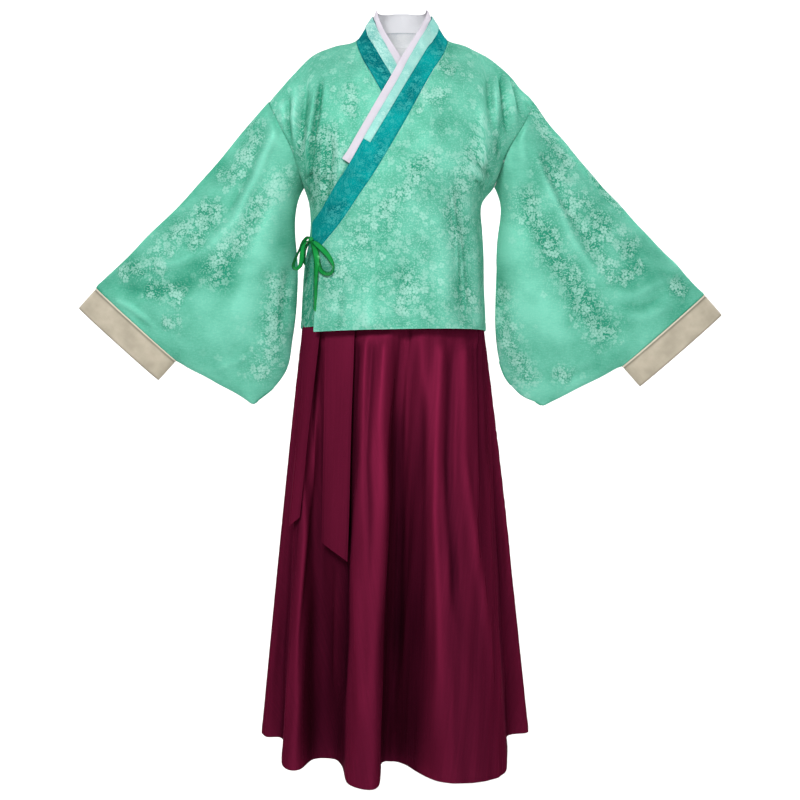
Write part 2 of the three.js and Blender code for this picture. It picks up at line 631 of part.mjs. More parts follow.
// Each sleeve is one tube of cloth with a seam under the arm, then a separate cuff band.
function makeSleeve(name, cuffName, side) {
  const seam = armhole(side === 1 ? 'right' : 'left');
  const chord = seam[0].clone().sub(seam[seam.length - 1]).normalize();
  const outward = new THREE.Vector3(side * Math.abs(chord.y), 0, -Math.abs(chord.x));
  const loops = SLEEVE_STEPS.map((s) => sleeveLoop(s, side));
  loops[0].forEach((point) => point.addScaledVector(outward, SEAM));
  const end = loops[loops.length - 1];
  const edge = end[0].clone().sub(end[ACROSS_SLEEVE.length - 1]).normalize();
  const cuffWay = new THREE.Vector3(side * Math.abs(edge.z), 0, -Math.abs(edge.x));
  const nodes = withNormals(loops, true, (i) => loopMiddle(loops[i]));
  seam.forEach((point, k) => {
    const before = seam[Math.max(0, k - 1)];
    const after = seam[Math.min(seam.length - 1, k + 1)];
    const across = new THREE.Vector3(after.y - before.y, 0, before.x - after.x);
    squareTo(nodes[0][k], across);
    squareTo(nodes[0][(nodes[0].length - k) % nodes[0].length], across);
  });
  nodes[nodes.length - 1].forEach((node) => squareTo(node, cuffWay));
  sew(name, wall(nodes, CLOTH, true), finish.jacket);

  const cuffLoops = [SEAM, CUFF_WIDTH / 2, CUFF_WIDTH].map((reach) => (
    end.map((point) => point.clone().addScaledVector(cuffWay, reach))
  ));
  const cuff = withNormals(cuffLoops, true, (i) => loopMiddle(cuffLoops[i]));
  sew(cuffName, wall(cuff, CLOTH, true), finish.cuff);
}

// A flat ribbon along a line of points, its width lying along one direction.
function ribbonGeometry(line, across) {
  const route = line.map((p) => new THREE.Vector3(...p));
  const rows = route.map((point, i) => {
    const before = route[Math.max(0, i - 1)];
    const after = route[Math.min(route.length - 1, i + 1)];
    const along = new THREE.Vector3().subVectors(after, before).normalize();
    const wide = across.clone().addScaledVector(along, -across.dot(along)).normalize();
    const normal = new THREE.Vector3().crossVectors(wide, along).normalize();
    return [-0.5, 0.5].map((t) => ({
      point: point.clone().addScaledVector(wide, t * RIBBON_WIDTH).addScaledVector(normal, RIBBON / 2),
      normal: normal.clone(),
    }));
  });
  return wall(rows, RIBBON);
}

// The tie: a knot on the collar's lower end, with two hanging loops and two tails.
function makeTie() {
  const knot = new THREE.SphereGeometry(KNOT.half, 12, 8);
  knot.scale(1, 0.85, 1);
  knot.translate(KNOT.x, KNOT.y, KNOT.z);
  sew('tie_knot', knot, finish.tie);
  STRANDS.forEach(({ name, line, across }) => {
    sew(name, ribbonGeometry(line, vector(across)), finish.tie);
  });
}

// The skirt's point at a height for one fold, or for a plain turn when the fold has no hem place.
function skirtPoint({ x, y, turn, out }, z) {
  const angle = THREE.MathUtils.degToRad(turn);
  const below = clamp01((HIP.z - z) / (HIP.z - HEM)) ** 0.93;
  const above = smoothStep(HIP.z, WAIST.z, z);
  const half = mix(HIP.half, WAIST.half, above);
  const depth = mix(HIP.depth, WAIST.depth, above) + out * (1 - above);
  const hipX = mix(HIP.x, WAIST.x, above) - half * Math.cos(angle);
  const hipY = -depth * Math.sin(angle);
  return new THREE.Vector3(mix(hipX, x, below), mix(hipY, y, below), z);
}

function makeSkirtPanel(name, folds, face) {
  const lines = SKIRT_LEVELS.map((z) => folds.map((fold) => skirtPoint(fold, z)));
  const nodes = withNormals(lines, false, () => new THREE.Vector3(0, 0, 0));
  const out = face === 'front' ? -1 : 1;
  nodes.forEach((row, i) => row.forEach((node, k) => {
    const before = lines[i][Math.max(0, k - 1)];
    const after = lines[i][Math.min(lines[i].length - 1, k + 1)];
    const inward = new THREE.Vector3(before.y - after.y, after.x - before.x, 0);
    if (node.normal.dot(inward) > 0) node.normal.negate();
    if (k === 0 || k === row.length - 1) {
      node.point.y += out * SEAM / 2;
      squareTo(node, MIDDLE_PLANE);
    }
  }));
  sew(name, wall(nodes, CLOTH), finish.skirt);
}

function makeWaistband() {
  const turns = Array.from({ length: 36 }, (_, k) => k * 10);
  const ring = (z) => turns.map((turn) => {
    const angle = THREE.MathUtils.degToRad(turn);
    return new THREE.Vector3(WAIST.x - WAIST.half * Math.cos(angle), -WAIST.depth * Math.sin(angle), z);
  });
  const rings = [ring(WAIST.z + SEAM), ring(WAIST.z + WAISTBAND)];
  const nodes = withNormals(rings, true, (i) => loopMiddle(rings[i]));
  sew('skirt_waistband', wall(nodes, CLOTH, true), finish.skirt);
}

// A sash tail hugs the skirt down to the hip and hangs straight from there to its slanted end.
function makeSash(name, { turns, end }) {
  const held = SKIRT_LEVELS.filter((z) => z >= HIP.z).map((z) => turns.map((turn) => {
    const point = skirtPoint({ x: 0, y: 0, turn, out: 0 }, Math.min(z, SASH_TOP));
    const angle = THREE.MathUtils.degToRad(turn);
    const clear = mix(SASH_CLEAR.waist, SASH_CLEAR.hip, (WAIST.z - z) / (WAIST.z - HIP.z));
    return point.addScaledVector(new THREE.Vector3(-Math.cos(angle), -Math.sin(angle), 0), clear);
  }));
  const hip = held[held.length - 1];
  const hanging = [0.25, 0.5, 0.75, 1].map((t) => (
    hip.map((point, k) => point.clone().lerp(vector(end[k]), t))
  ));
  const rows = [...held, ...hanging];
  const nodes = withNormals(rows, false, (i) => new THREE.Vector3(0, 0, rows[i][0].z));
  sew(name, wall(nodes, RIBBON), finish.skirt);
}

makeBack();
makeFront('front_over', 1, OVER_RUNS, OVER_EDGE, wrapLift);
makeFront('front_under', -1, UNDER_RUNS, UNDER_EDGE, () => 0);
makeSleeve('sleeve_left_arm', 'cuff_left_arm', 1);
makeSleeve('sleeve_right_arm', 'cuff_right_arm', -1);
makeWideBand();
makeMiddleStrip();
makeEdgeStrip();
makeLining();
makeTie();
makeWaistband();
makeSkirtPanel('skirt_front', SKIRT_FRONT, 'front');
makeSkirtPanel('skirt_back', SKIRT_BACK, 'back');
makeSash('sash_front_tail', FRONT_SASH);
makeSash('sash_side_tail', SIDE_SASH);

export default garment;
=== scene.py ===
# A crossover jacket with wide hanging sleeves over a long pleated skirt, worn and filled out with
# nobody inside. Tables are in millimetres, as a pattern cutter would write them, and a piece becomes
# metres when its mesh is made. The dress faces -Y, and the wearer's left is +X.
import math

import bmesh
import bpy
import numpy as np
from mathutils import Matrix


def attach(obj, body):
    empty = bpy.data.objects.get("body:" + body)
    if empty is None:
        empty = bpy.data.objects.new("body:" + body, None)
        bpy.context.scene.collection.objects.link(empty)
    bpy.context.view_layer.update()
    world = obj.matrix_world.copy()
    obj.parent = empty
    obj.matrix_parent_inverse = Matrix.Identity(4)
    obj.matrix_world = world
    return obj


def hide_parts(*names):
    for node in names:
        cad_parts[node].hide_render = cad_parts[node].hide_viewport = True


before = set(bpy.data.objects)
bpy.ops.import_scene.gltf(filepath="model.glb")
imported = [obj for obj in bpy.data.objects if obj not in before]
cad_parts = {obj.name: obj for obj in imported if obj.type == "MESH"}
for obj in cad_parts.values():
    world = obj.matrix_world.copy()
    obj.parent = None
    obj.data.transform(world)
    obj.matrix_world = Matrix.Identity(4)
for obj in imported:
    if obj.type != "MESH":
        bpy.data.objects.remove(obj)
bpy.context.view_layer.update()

# ---------------------------------------------------------------- camera
# It stands level with the hips, far enough off that the whole dress fills the picture.
camera = bpy.data.objects.new("camera", bpy.data.cameras.new("camera"))
bpy.context.scene.collection.objects.link(camera)
camera.location = (-0.0028, -2.4, -0.6623)
camera.rotation_euler = (math.radians(90), 0, 0)
camera.data.lens = 58.38
bpy.context.scene.camera = camera
bpy.context.scene.view_settings.view_transform = "Standard"

# ---------------------------------------------------------------- floor and light
# A sheet of pale paper that curves up behind the dress, lit by soft boxes in a white room.
FLOOR = -1.6
SWEEP_FRONT, SWEEP_BACK, SWEEP_ROUND, SWEEP_TOP = -4.0, 2.2, 1.2, 4.0
SWEEP_HALF = 6.0


def linear(code):
    """An sRGB hex colour as linear red, green, blue and alpha."""
    channels = [int(code[i:i + 2], 16) / 255 for i in (0, 2, 4)]
    return [c / 12.92 if c <= 0.04045 else ((c + 0.055) / 1.055) ** 2.4 for c in channels] + [1]


def wire(made, inputs):
    """Gives each socket of a node its value, or a link where the value is another node's output.
    A node given as the value stands for its first output."""
    for socket, value in inputs.items():
        if isinstance(value, bpy.types.Node):
            value = value.outputs[0]
        if isinstance(value, bpy.types.NodeSocket):
            made.id_data.links.new(value, made.inputs[socket])
        else:
            made.inputs[socket].default_value = value


def node(tree, kind, inputs, **settings):
    """Adds a shader node with its settings and its inputs' values and links."""
    made = tree.nodes.new("ShaderNode" + kind)
    for name, value in settings.items():
        setattr(made, name, value)
    wire(made, inputs)
    return made


def finish_of(name):
    """An empty material with its node tree and its shader."""
    material = bpy.data.materials.new(name)
    material.use_nodes = True
    tree = material.node_tree
    return material, tree, tree.nodes["Principled BSDF"]


def mesh_piece(name, vertices, faces, material):
    """Adds a smooth-shaded mesh with one material. Its vertices are in metres."""
    mesh = bpy.data.meshes.new(name)
    mesh.from_pydata(vertices, [], faces)
    mesh.shade_smooth()
    mesh.materials.append(material)
    piece = bpy.data.objects.new(name, mesh)
    bpy.context.scene.collection.objects.link(piece)
    return piece


# Studio paper: matt and nearly white, with a faint mottle from its fibres.
paper, tree, shader = finish_of("matt_studio_paper")
fibre = node(tree, "TexNoise", {"Scale": 40.0, "Detail": 3.0})
shade = node(tree, "MixRGB", {"Fac": fibre, 1: linear("fcfcfb"), 2: linear("fefefd")})
wire(shader, {"Base Color": shade, "Roughness": 0.9})

sweep = [(SWEEP_FRONT, FLOOR)]
for turn in np.radians(np.linspace(0, 90, 13)):
    sweep.append((SWEEP_BACK + SWEEP_ROUND * math.sin(turn), FLOOR + SWEEP_ROUND * (1 - math.cos(turn))))
sweep.append((SWEEP_BACK + SWEEP_ROUND, SWEEP_TOP))
paper_points = [(side * SWEEP_HALF, y, z) for y, z in sweep for side in (-1, 1)]
paper_faces = [(2 * i, 2 * i + 1, 2 * i + 3, 2 * i + 2) for i in range(len(sweep) - 1)]
mesh_piece("studio_paper", paper_points, paper_faces, paper)

room = bpy.data.worlds.new("white_room")
bpy.context.scene.world = room
room.use_nodes = True
wire(room.node_tree.nodes["Background"], {"Color": linear("ffffff"), "Strength": 0.16})

SOFT_BOXES = (
    # name, place, what it faces, size, watts
    ("key", (-0.8, -2.75, 1.1), (0, 0, -0.45), 0.9, 86),
    ("fill", (1.8, -3.0, 0.1), (0, 0, -0.6), 1.6, 28),
    ("paper_left", (-2.2, 1.2, 1.6), (-0.5, 2.7, -1.2), 1.6, 68),
    ("paper_right", (2.2, 1.2, 1.6), (0.3, 2.0, -1.4), 1.6, 78),
)
for name, place, faces, size, watts in SOFT_BOXES:
    lamp = bpy.data.objects.new(name, bpy.data.lights.new(name, "AREA"))
    lamp.data.size, lamp.data.energy = size, watts
    lamp.location = place
    way = np.subtract(faces, place)
    heading = math.atan2(way[1], way[0]) - math.pi / 2
    lamp.rotation_euler = (math.atan2(math.hypot(way[0], way[1]), -way[2]), 0, heading)
    bpy.context.scene.collection.objects.link(lamp)

# ---------------------------------------------------------------- the jacket's back
# One panel of satin jacquard, sewn to the fronts along the shoulders and sides, to a sleeve round
# each armhole and to the collar at the neck. The form of the body here serves every later piece.
SEAM = 0.4            # gap between two sewn edges
CLOTH = 1.3           # satin with its turned and faced edges
RIDGE_ROUND = 100     # height over which the cloth rounds off below the shoulder line
ARMHOLE_TOP, UNDERARM = -113, -268
ARM_TURN = -150       # where the armhole begins to draw in towards the underarm
ARM_DEPTH = 70        # how far each armhole's edge stands from the middle plane
SIDE_POWER = 2.3      # how square the body is from side to side
BACK_STAND = 10       # how much higher the collar stands behind the neck
LEFT_SLOPE = 7        # how much lower the wearer's left shoulder falls
SIDE_HEM = {"left": -530, "right": -535}
LAID_LEFT, LAID_FOOT, LAID_STEP = -246, -548, 2.0     # the grid over which the cloth is laid out
LAID_COLUMNS, LAID_ROWS = 247, 329
LAID_MIDDLE, LAID_CHEST = 120, 124                    # the column and row that it is measured from

# By height: the jacket's two sides as seen from the front, and how far its front and back stand out.
BODY = {
    "z": (-545, -457, -408, -350, -300, -268, -215, -165, -113, -24, 10, 68),
    "left": (-187, -182.5, -178.5, -168, -171, -181, -197, -221, -243, -243, -243, -243),
    "right": (155.5, 152.5, 151, 149, 148.5, 171.5, 191, 221, 243, 243, 243, 243),
    "front": (120, 115, 114, 114, 116, 117, 113, 106, 96, 76, 72, 68),
    "back": (112, 100, 94, 93, 98, 103, 106, 104, 99, 80, 74, 66),
}
# The height of the shoulder line, by distance from the middle.
SHOULDER = {
    "x": (0, 25, 47.5, 53, 66, 83, 125, 165, 200, 224, 243),
    "z": (100, 88, 57, 44, 24, 0, -11, -30, -62.5, -90.5, -113),
}
# By distance down the front: the collar's sewn, fold and free edge, and its middle strip's width.
COLLAR = {
    "run": (0, 11, 22, 57, 87, 128, 190, 256, 305, 345, 400, 450),
    "sewn_x": (83, 82.3, 80.5, 69, 54, 35, 6, -26.5, -52, -75, -106, -139.5),
    "sewn_z": (0, -10, -20, -53, -80, -115, -170, -227, -269, -302, -347, -387),
    "fold_x": (53, 51, 42, 27, 13, -5, -35, -67, -91, -112.5, -141, -158),
    "fold_z": (44, 29, 2, -28, -54, -91, -145, -202, -245, -277, -322, -341),
    "free_x": (47.5, 44.5, 34, 17, 2, -17, -47, -79.5, -103, -125, -153, -170),
    "free_z": (57, 37, 8, -22, -47, -83, -137, -195, -237, -270, -314, -333),
    "middle": (23.5, 21, 20, 19.5, 19, 16, 15.5, 14.5, 14, 14, 14, 14),
}


def read(table, key, column, at):
    """One column of a table at values of its key column, on a smooth curve through the rows."""
    x, y = np.array(table[key], float), np.array(table[column], float)
    rows = np.arange(len(x))
    after, before = np.minimum(rows + 1, len(x) - 1), np.maximum(rows - 1, 0)
    slope = (y[after] - y[before]) / (x[after] - x[before])
    at = np.clip(at, x[0], x[-1])
    i = np.clip(np.searchsorted(x, at, side="right") - 1, 0, len(x) - 2)
    span = x[i + 1] - x[i]
    t = (at - x[i]) / span
    return (y[i] * (2 * t**3 - 3 * t**2 + 1) + slope[i] * span * (t**3 - 2 * t**2 + t)
            + y[i + 1] * (3 * t**2 - 2 * t**3) + slope[i + 1] * span * (t**3 - t**2))


def smooth(low, high, value):
    """0 up to low, 1 from high on, and an even bend between them."""
    t = np.clip((value - low) / (high - low), 0, 1)
    return t * t * (3 - 2 * t)


def bell(distance, width):
    """1 at no distance, dying away over the width on both sides."""
    return np.exp(-(distance / width)**2)


def unit(vectors):
    """The same directions with a length of 1."""
    return vectors / (np.linalg.norm(vectors, axis=-1, keepdims=True) + 1e-12)


def lengths(line):
    """The lengths between the points along a line, or between the rows of a grid."""
    return np.linalg.norm(np.diff(line, axis=0), axis=-1)


def shoulder_line(x):
    """Height of the shoulder over x. The wearer's left shoulder slopes a little more."""
    return read(SHOULDER, "x", "z", np.abs(x)) - LEFT_SLOPE * smooth(83, 150, x) * smooth(243, 210, x)


def body_depth(x, z, face):
    """How far the jacket's cloth stands from the middle plane at a point seen from the front."""
    left, right = read(BODY, "z", "left", z), read(BODY, "z", "right", z)
    from_middle = np.minimum(1, np.abs(x - (left + right) / 2) / ((right - left) / 2))
    below_arm = np.clip((ARM_TURN - z) / (ARM_TURN - UNDERARM), 0, 1)
    at_seam = ARM_DEPTH * np.sqrt(1 - below_arm**2)
    fall = 0.45 + 0.7 * smooth(UNDERARM, ARMHOLE_TOP, z)
    down = np.clip((shoulder_line(x) - z) / RIDGE_ROUND, 0, 1)
    middle = read(BODY, "z", face, z)
    return np.sqrt(1 - (1 - down)**2) * (at_seam + (middle - at_seam) * (1 - from_middle**SIDE_POWER)**fall)


def on_body(flat, face, lift=0.0):
    """Points of the jacket over flat (x, z) points, moved out along the surface's normal by lift."""
    x, z = flat[..., 0], flat[..., 1]
    step = 1.5
    slope_x = (body_depth(x + step, z, face) - body_depth(x - step, z, face)) / (2 * step)
    slope_z = (body_depth(x, z + step, face) - body_depth(x, z - step, face)) / (2 * step)
    out = -1 if face == "front" else 1
    normal = unit(np.stack([-slope_x, np.full_like(x, out), -slope_z], -1))
    point = np.stack([x, out * (body_depth(x, z, face) + SEAM / 2), z], -1)
    return point + normal * np.asarray(lift)[..., None]


def unrolled(flat, face):
    """Where flat (x, z) points lie on the cloth laid out, measured over the body's curve: level
    from the middle of the body, and upright from the chest."""
    x, z = np.meshgrid(LAID_LEFT + LAID_STEP * np.arange(LAID_COLUMNS),
                       LAID_FOOT + LAID_STEP * np.arange(LAID_ROWS))
    depth = body_depth(x, z, face)
    level = np.cumsum(np.hypot(np.gradient(x, axis=1), np.gradient(depth, axis=1)), axis=1)
    upright = np.cumsum(np.hypot(np.gradient(z, axis=0), np.gradient(depth, axis=0)), axis=0)
    level -= level[:, [LAID_MIDDLE]]
    upright -= upright[[LAID_CHEST]] - z[LAID_CHEST, 0]
    column = np.clip((flat[..., 0] - LAID_LEFT) / LAID_STEP, 0, LAID_COLUMNS - 1.001)
    row = np.clip((flat[..., 1] - LAID_FOOT) / LAID_STEP, 0, LAID_ROWS - 1.001)
    i, k = row.astype(int), column.astype(int)
    p, q = row - i, column - k

    def at(grid):
        low = grid[i, k] * (1 - q) + grid[i, k + 1] * q
        return low * (1 - p) + (grid[i + 1, k] * (1 - q) + grid[i + 1, k + 1] * q) * p
    return np.stack([at(level), at(upright)], -1)


def run_along(line):
    """Distances along a line of points, from 0 to 1."""
    steps = lengths(line)
    return np.concatenate([[0], np.cumsum(steps)]) / steps.sum()


def between(low, top, start, end):
    """A grid of flat points cut between four edges: rows from low to top, columns from start to end.
    The curve of the start and end edges dies out a short way into the panel."""
    u, v = run_along(top)[None, :, None], run_along(end)[:, None, None]
    low, top, start, end = low[None], top[None], start[:, None], end[:, None]
    straight = (1 - v) * low + v * top
    return straight + (1 - u)**4 * (start - straight[:, :1]) + u**4 * (end - straight[:, -1:])


def side_line(edge, rows=64):
    """Side seam and armhole of one side, from hem to shoulder line, closer together at the top."""
    side = SIDE_HEM[edge] + (UNDERARM - SIDE_HEM[edge]) * np.linspace(0, 1, rows)[:-1]**1.2
    arm = UNDERARM + (ARMHOLE_TOP - UNDERARM) * np.sin(np.linspace(0, 1, rows) * math.pi / 2)
    z = np.concatenate([side, arm])
    return np.stack([read(BODY, "z", edge, z), z], -1)


def shoulder_points(side, columns=84):
    """The shoulder seam of one side, from the collar to the armhole."""
    x = side * np.linspace(COLLAR["sewn_x"][0] + SEAM, SHOULDER["x"][-1], columns)
    return np.stack([x, shoulder_line(x)], -1)


def sewn_beside(sewn, fold):
    """A panel's edge along the collar, a seam's gap outside the collar's own sewn edge."""
    return sewn - SEAM * unit(fold - sewn)


def neck_lines(turns):
    """The collar's sewn, fold and free edge behind the neck and its middle strip's width, by the
    turn from the wearer's left (0) to the right (180)."""
    angle = np.radians(turns)
    rise = BACK_STAND * np.sin(angle)**2
    sewn, fold, free = (np.stack([COLLAR[name + "_x"][0] * np.cos(angle), COLLAR[name + "_z"][0] + rise], -1)
                        for name in ("sewn", "fold", "free"))
    return sewn, fold, free, COLLAR["middle"][0] - 5 * np.sin(angle)**2


def creases(x, z, folds):
    """Height of soft ridges (+) and troughs (-) laid along lines of points. Each is given as
    its points, half width, height, and the parts of its length over which it fades in and out."""
    total = np.zeros_like(x)
    for line, width, height, fade_in, fade_out in folds:
        line = np.array(line, float)
        spans = lengths(line)
        nearest, run = np.full_like(x, 1e9), np.zeros_like(x)
        for i, span in enumerate(spans):
            way = (line[i + 1] - line[i]) / span
            t = np.clip((x - line[i, 0]) * way[0] + (z - line[i, 1]) * way[1], 0, span)
            off = np.hypot(x - line[i, 0] - t * way[0], z - line[i, 1] - t * way[1])
            closer = off < nearest
            nearest = np.where(closer, off, nearest)
            run = np.where(closer, (spans[:i].sum() + t) / spans.sum(), run)
        total += height * bell(nearest, width) * smooth(0, fade_in, run) * smooth(0, fade_out, 1 - run)
    return total


def ripple(x, z, height, length):
    """The slight unevenness of hanging cloth, from a few crossed waves of different lengths."""
    k = 2 * math.pi / length
    return height * (np.sin(k * x + 0.7 * np.sin(k * z / 2.3)) * np.cos(k * z / 3.1 + 0.5)
                     + 0.6 * np.sin(k * 1.7 * x - k * z / 1.9 + 1.3) + 0.4 * np.sin(k * z / 1.4 + 2.1))


def sprays_at(x, z, sprays):
    """How thick the blossom lies at each point: 1 along the middle of a spray, 0 away from them.
    Each spray is given as the points of its middle line and its half width."""
    found = np.zeros_like(x)
    for line, width in sprays:
        found = np.maximum(found, creases(x, z, [(line, 1.4 * width, 1, 0.12, 0.12)]))
    uneven = 0.3 * np.sin(x / 13.0 + np.sin(z / 19.0)) * np.sin(z / 15.0 + 1.0)
    return np.clip(found * (1 + uneven), 0, 1)


def strewn(z):
    """The few blossoms between the sprays of the jacket's body, more of them low down."""
    return 0.24 + 0.22 * smooth(-140, -330, z)


def painted_shading(folds, *seams):
    """Painted light and shade for the colour: paler on the ridges of folds and deeper in their troughs,
    from their height, and -1, painted shade, along each seam distance.
    """
    return np.clip(folds / 5, -1, 1) - sum(bell(seam, 2.2) for seam in seams)


def from_edges(points):
    """Each point's distance over the cloth from the low, top, start and end edge of its grid."""
    up, across = (np.pad(np.cumsum(lengths(grid), axis=0), ((1, 0), (0, 0)))
                  for grid in (points, points.swapaxes(0, 1)))
    return up, up[-1:] - up, across.T, across[-1:].T - across.T


def seam_dip(distance, along, deep=1):
    """A pressed seam: the cloth sinks to it, and puckers a little beside it. deep is 0 where the
    front and the back close on each other, as they do under the arm."""
    pucker = 0.4 * np.sin(along / 1.9 + 1.5 * np.sin(along / 11)) * bell(distance - 6, 5)
    return (pucker - 0.3 * bell(distance, 1.6)) * deep


def seam_depth(points):
    """0 where a seam lies close to the middle plane, 1 where it stands well off it."""
    return smooth(3, 30, np.abs(points[..., 1]))


def turned_edge(distance, width=15, proud=0.5):
    """A turned hem: two layers thick, with the sewn line sunk along it and the edge rounded."""
    line = 0.7 * bell(distance - width, 1.5)
    return proud * smooth(width + 1, width - 1, distance) - line - 0.7 * bell(distance, 1.2)


def body_axis(row):
    """A point of the body's upright axis, level with the middle of a row."""
    return -12, 0, row[len(row) // 2][2]


def outward(points, centre=body_axis, looped=False):
    """Unit normals of a grid of points, on the side away from the centre of its middle row."""
    over = np.roll(points, -1, axis=1) - np.roll(points, 1, axis=1) if looped else np.gradient(points, axis=1)
    normals = unit(np.cross(over, np.gradient(points, axis=0)))
    row, column = points.shape[0] // 2, points.shape[1] // 2
    away = points[row, column] - np.array(centre(points[row]), float)
    return normals * (1 if normals[row, column] @ away > 0 else -1)


def raised(points, rise, centre=body_axis, looped=False):
    """A grid of points moved out along its normals."""
    return points + outward(points, centre, looped) * np.asarray(rise)[..., None]


def cloth(name, points, material, thickness, centre=body_axis, looped=False, cut=None, spray=0, proud=0):
    """A closed thin wall whose outer face is the grid of points. cut is each point's place on the
    cloth laid flat, in millimetres, for the weave and the figure; spray says where blossom lies,
    and proud whether the point is on a ridge (1) or in a trough or seam (-1), from which the
    materials paint highlights on ridges and shade in troughs and seams."""
    rows, columns = points.shape[:2]
    shell = np.concatenate([points, raised(points, -thickness, centre, looped)]).reshape(-1, 3)
    wide = columns if looped else columns - 1
    i, k = np.meshgrid(np.arange(rows - 1), np.arange(wide), indexing="ij")
    a, b = i * columns + k, i * columns + (k + 1) % columns
    quads = np.stack([a, b, b + columns, a + columns], -1).reshape(-1, 4)
    inner = rows * columns
    first, after, last = np.arange(wide), (np.arange(wide) + 1) % columns, (rows - 1) * columns
    start = np.arange(rows - 1) * columns
    end = start + columns - 1
    rims = [(first + inner, after + inner, after, first),
            (last + first, last + after, last + after + inner, last + first + inner)]
    if not looped:
        rims += [(start, start + columns, start + columns + inner, start + inner),
                 (end + inner, end + columns + inner, end + columns, end)]
    faces = np.concatenate([quads, quads[:, ::-1] + inner] + [np.stack(rim, -1) for rim in rims])
    # Six times the wall's volume, which is negative while the faces look inward.
    p, q, r, s = shell[faces].transpose(1, 0, 2)
    if (p * (np.cross(q, r) + np.cross(r, s))).sum() < 0:
        faces = faces[:, ::-1]
    piece = mesh_piece(name, (shell / 1000).tolist(), faces.tolist(), material)
    piece.data.set_sharp_from_angle(angle=math.radians(50))
    if cut is None:
        up, _, across, _ = from_edges(points)
        cut = np.stack([across - across[:, [columns // 2]], up], -1)
    flat = np.tile(cut.reshape(-1, 2), (2, 1))
    piece.data.uv_layers.new(name="cut").data.foreach_set("uv", flat[faces.ravel()].ravel() / 1000)
    for kind, values in (("spray", spray), ("proud", proud)):
        values = np.broadcast_to(values, (rows, columns)).ravel()
        piece.data.attributes.new(kind, "FLOAT", "POINT").data.foreach_set("value", np.tile(values, 2))
    return piece


def sewn_in(piece, solid):
    """Puts a cloth piece in the place of its solid: hangs it on the root and hides the solid."""
    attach(piece, "root")
    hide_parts(solid)


def threads(tree, cut, spacing, strength, depth):
    """A bump of crossing threads. spacing is the distance between threads in metres."""
    waves = [node(tree, "TexWave", {"Vector": cut, "Scale": 1 / (20 * spacing), "Distortion": 0.6},
                  wave_type="BANDS", bands_direction=way).outputs["Fac"] for way in "XY"]
    weave = node(tree, "Math", {0: waves[0], 1: waves[1]}, operation="ADD")
    return node(tree, "Bump", {"Height": weave, "Strength": strength, "Distance": depth})


def blossoms(tree, cut, spacing, radius, spray):
    """A scatter of five-petalled blossom over the cut. spacing and radius are in metres, and each
    blossom shows where the spray is thicker than the chance that its cell drew."""
    cells = node(tree, "TexVoronoi", {"Vector": cut, "Scale": 1 / spacing, "Randomness": 0.9},
                 voronoi_dimensions="2D")
    away = node(tree, "VectorMath", {0: cut, 1: cells.outputs["Position"]}, operation="SUBTRACT")
    reach = node(tree, "VectorMath", {0: away}, operation="LENGTH").outputs["Value"]
    x, y, _ = node(tree, "SeparateXYZ", {0: away}).outputs
    chance, turn, size = node(tree, "SeparateColor", {0: cells.outputs["Color"]}).outputs
    # Five petals round the heart, each blossom turned and sized by its cell.
    bearing = node(tree, "Math", {0: y, 1: x}, operation="ARCTAN2")
    angle = node(tree, "Math", {0: turn, 1: 9.0, 2: bearing}, operation="MULTIPLY_ADD")
    half_turns = node(tree, "Math", {0: angle, 1: 2.5}, operation="MULTIPLY")
    wave = node(tree, "Math", {0: half_turns}, operation="COSINE")
    lobe = node(tree, "Math", {0: wave}, operation="ABSOLUTE")
    round_lobe = node(tree, "Math", {0: lobe, 1: 0.6}, operation="POWER")
    petal = node(tree, "Math", {0: round_lobe, 1: 0.55, 2: 0.45}, operation="MULTIPLY_ADD")
    full = node(tree, "Math", {0: size, 1: 0.45 * radius, 2: 0.6 * radius}, operation="MULTIPLY_ADD")
    rim = node(tree, "Math", {0: petal, 1: full}, operation="MULTIPLY")
    inside = node(tree, "Math", {0: rim, 1: reach}, operation="SUBTRACT")
    figure = node(tree, "MapRange", {0: inside, 1: -0.04 * radius, 2: 0.12 * radius})
    # It is cut by its heart, by the gaps between its petals and by where the spray is too thin.
    heart = node(tree, "MapRange", {0: reach, 1: 0.1 * radius, 2: 0.26 * radius, 3: 0.2})
    gap = node(tree, "MapRange", {0: lobe, 1: 0.05, 2: 0.45, 3: 0.2})
    thick = node(tree, "Math", {0: spray, 1: chance}, operation="SUBTRACT")
    here = node(tree, "MapRange", {0: thick, 1: -0.02, 2: 0.04})
    faint = node(tree, "Math", {0: turn, 1: 0.4, 2: 0.15}, operation="MULTIPLY_ADD")
    clear = node(tree, "Math", {0: spray, 1: 0.7, 2: faint}, operation="MULTIPLY_ADD", use_clamp=True)
    for part in (heart, gap, here, clear):
        figure = node(tree, "Math", {0: figure, 1: part}, operation="MULTIPLY")
    return figure


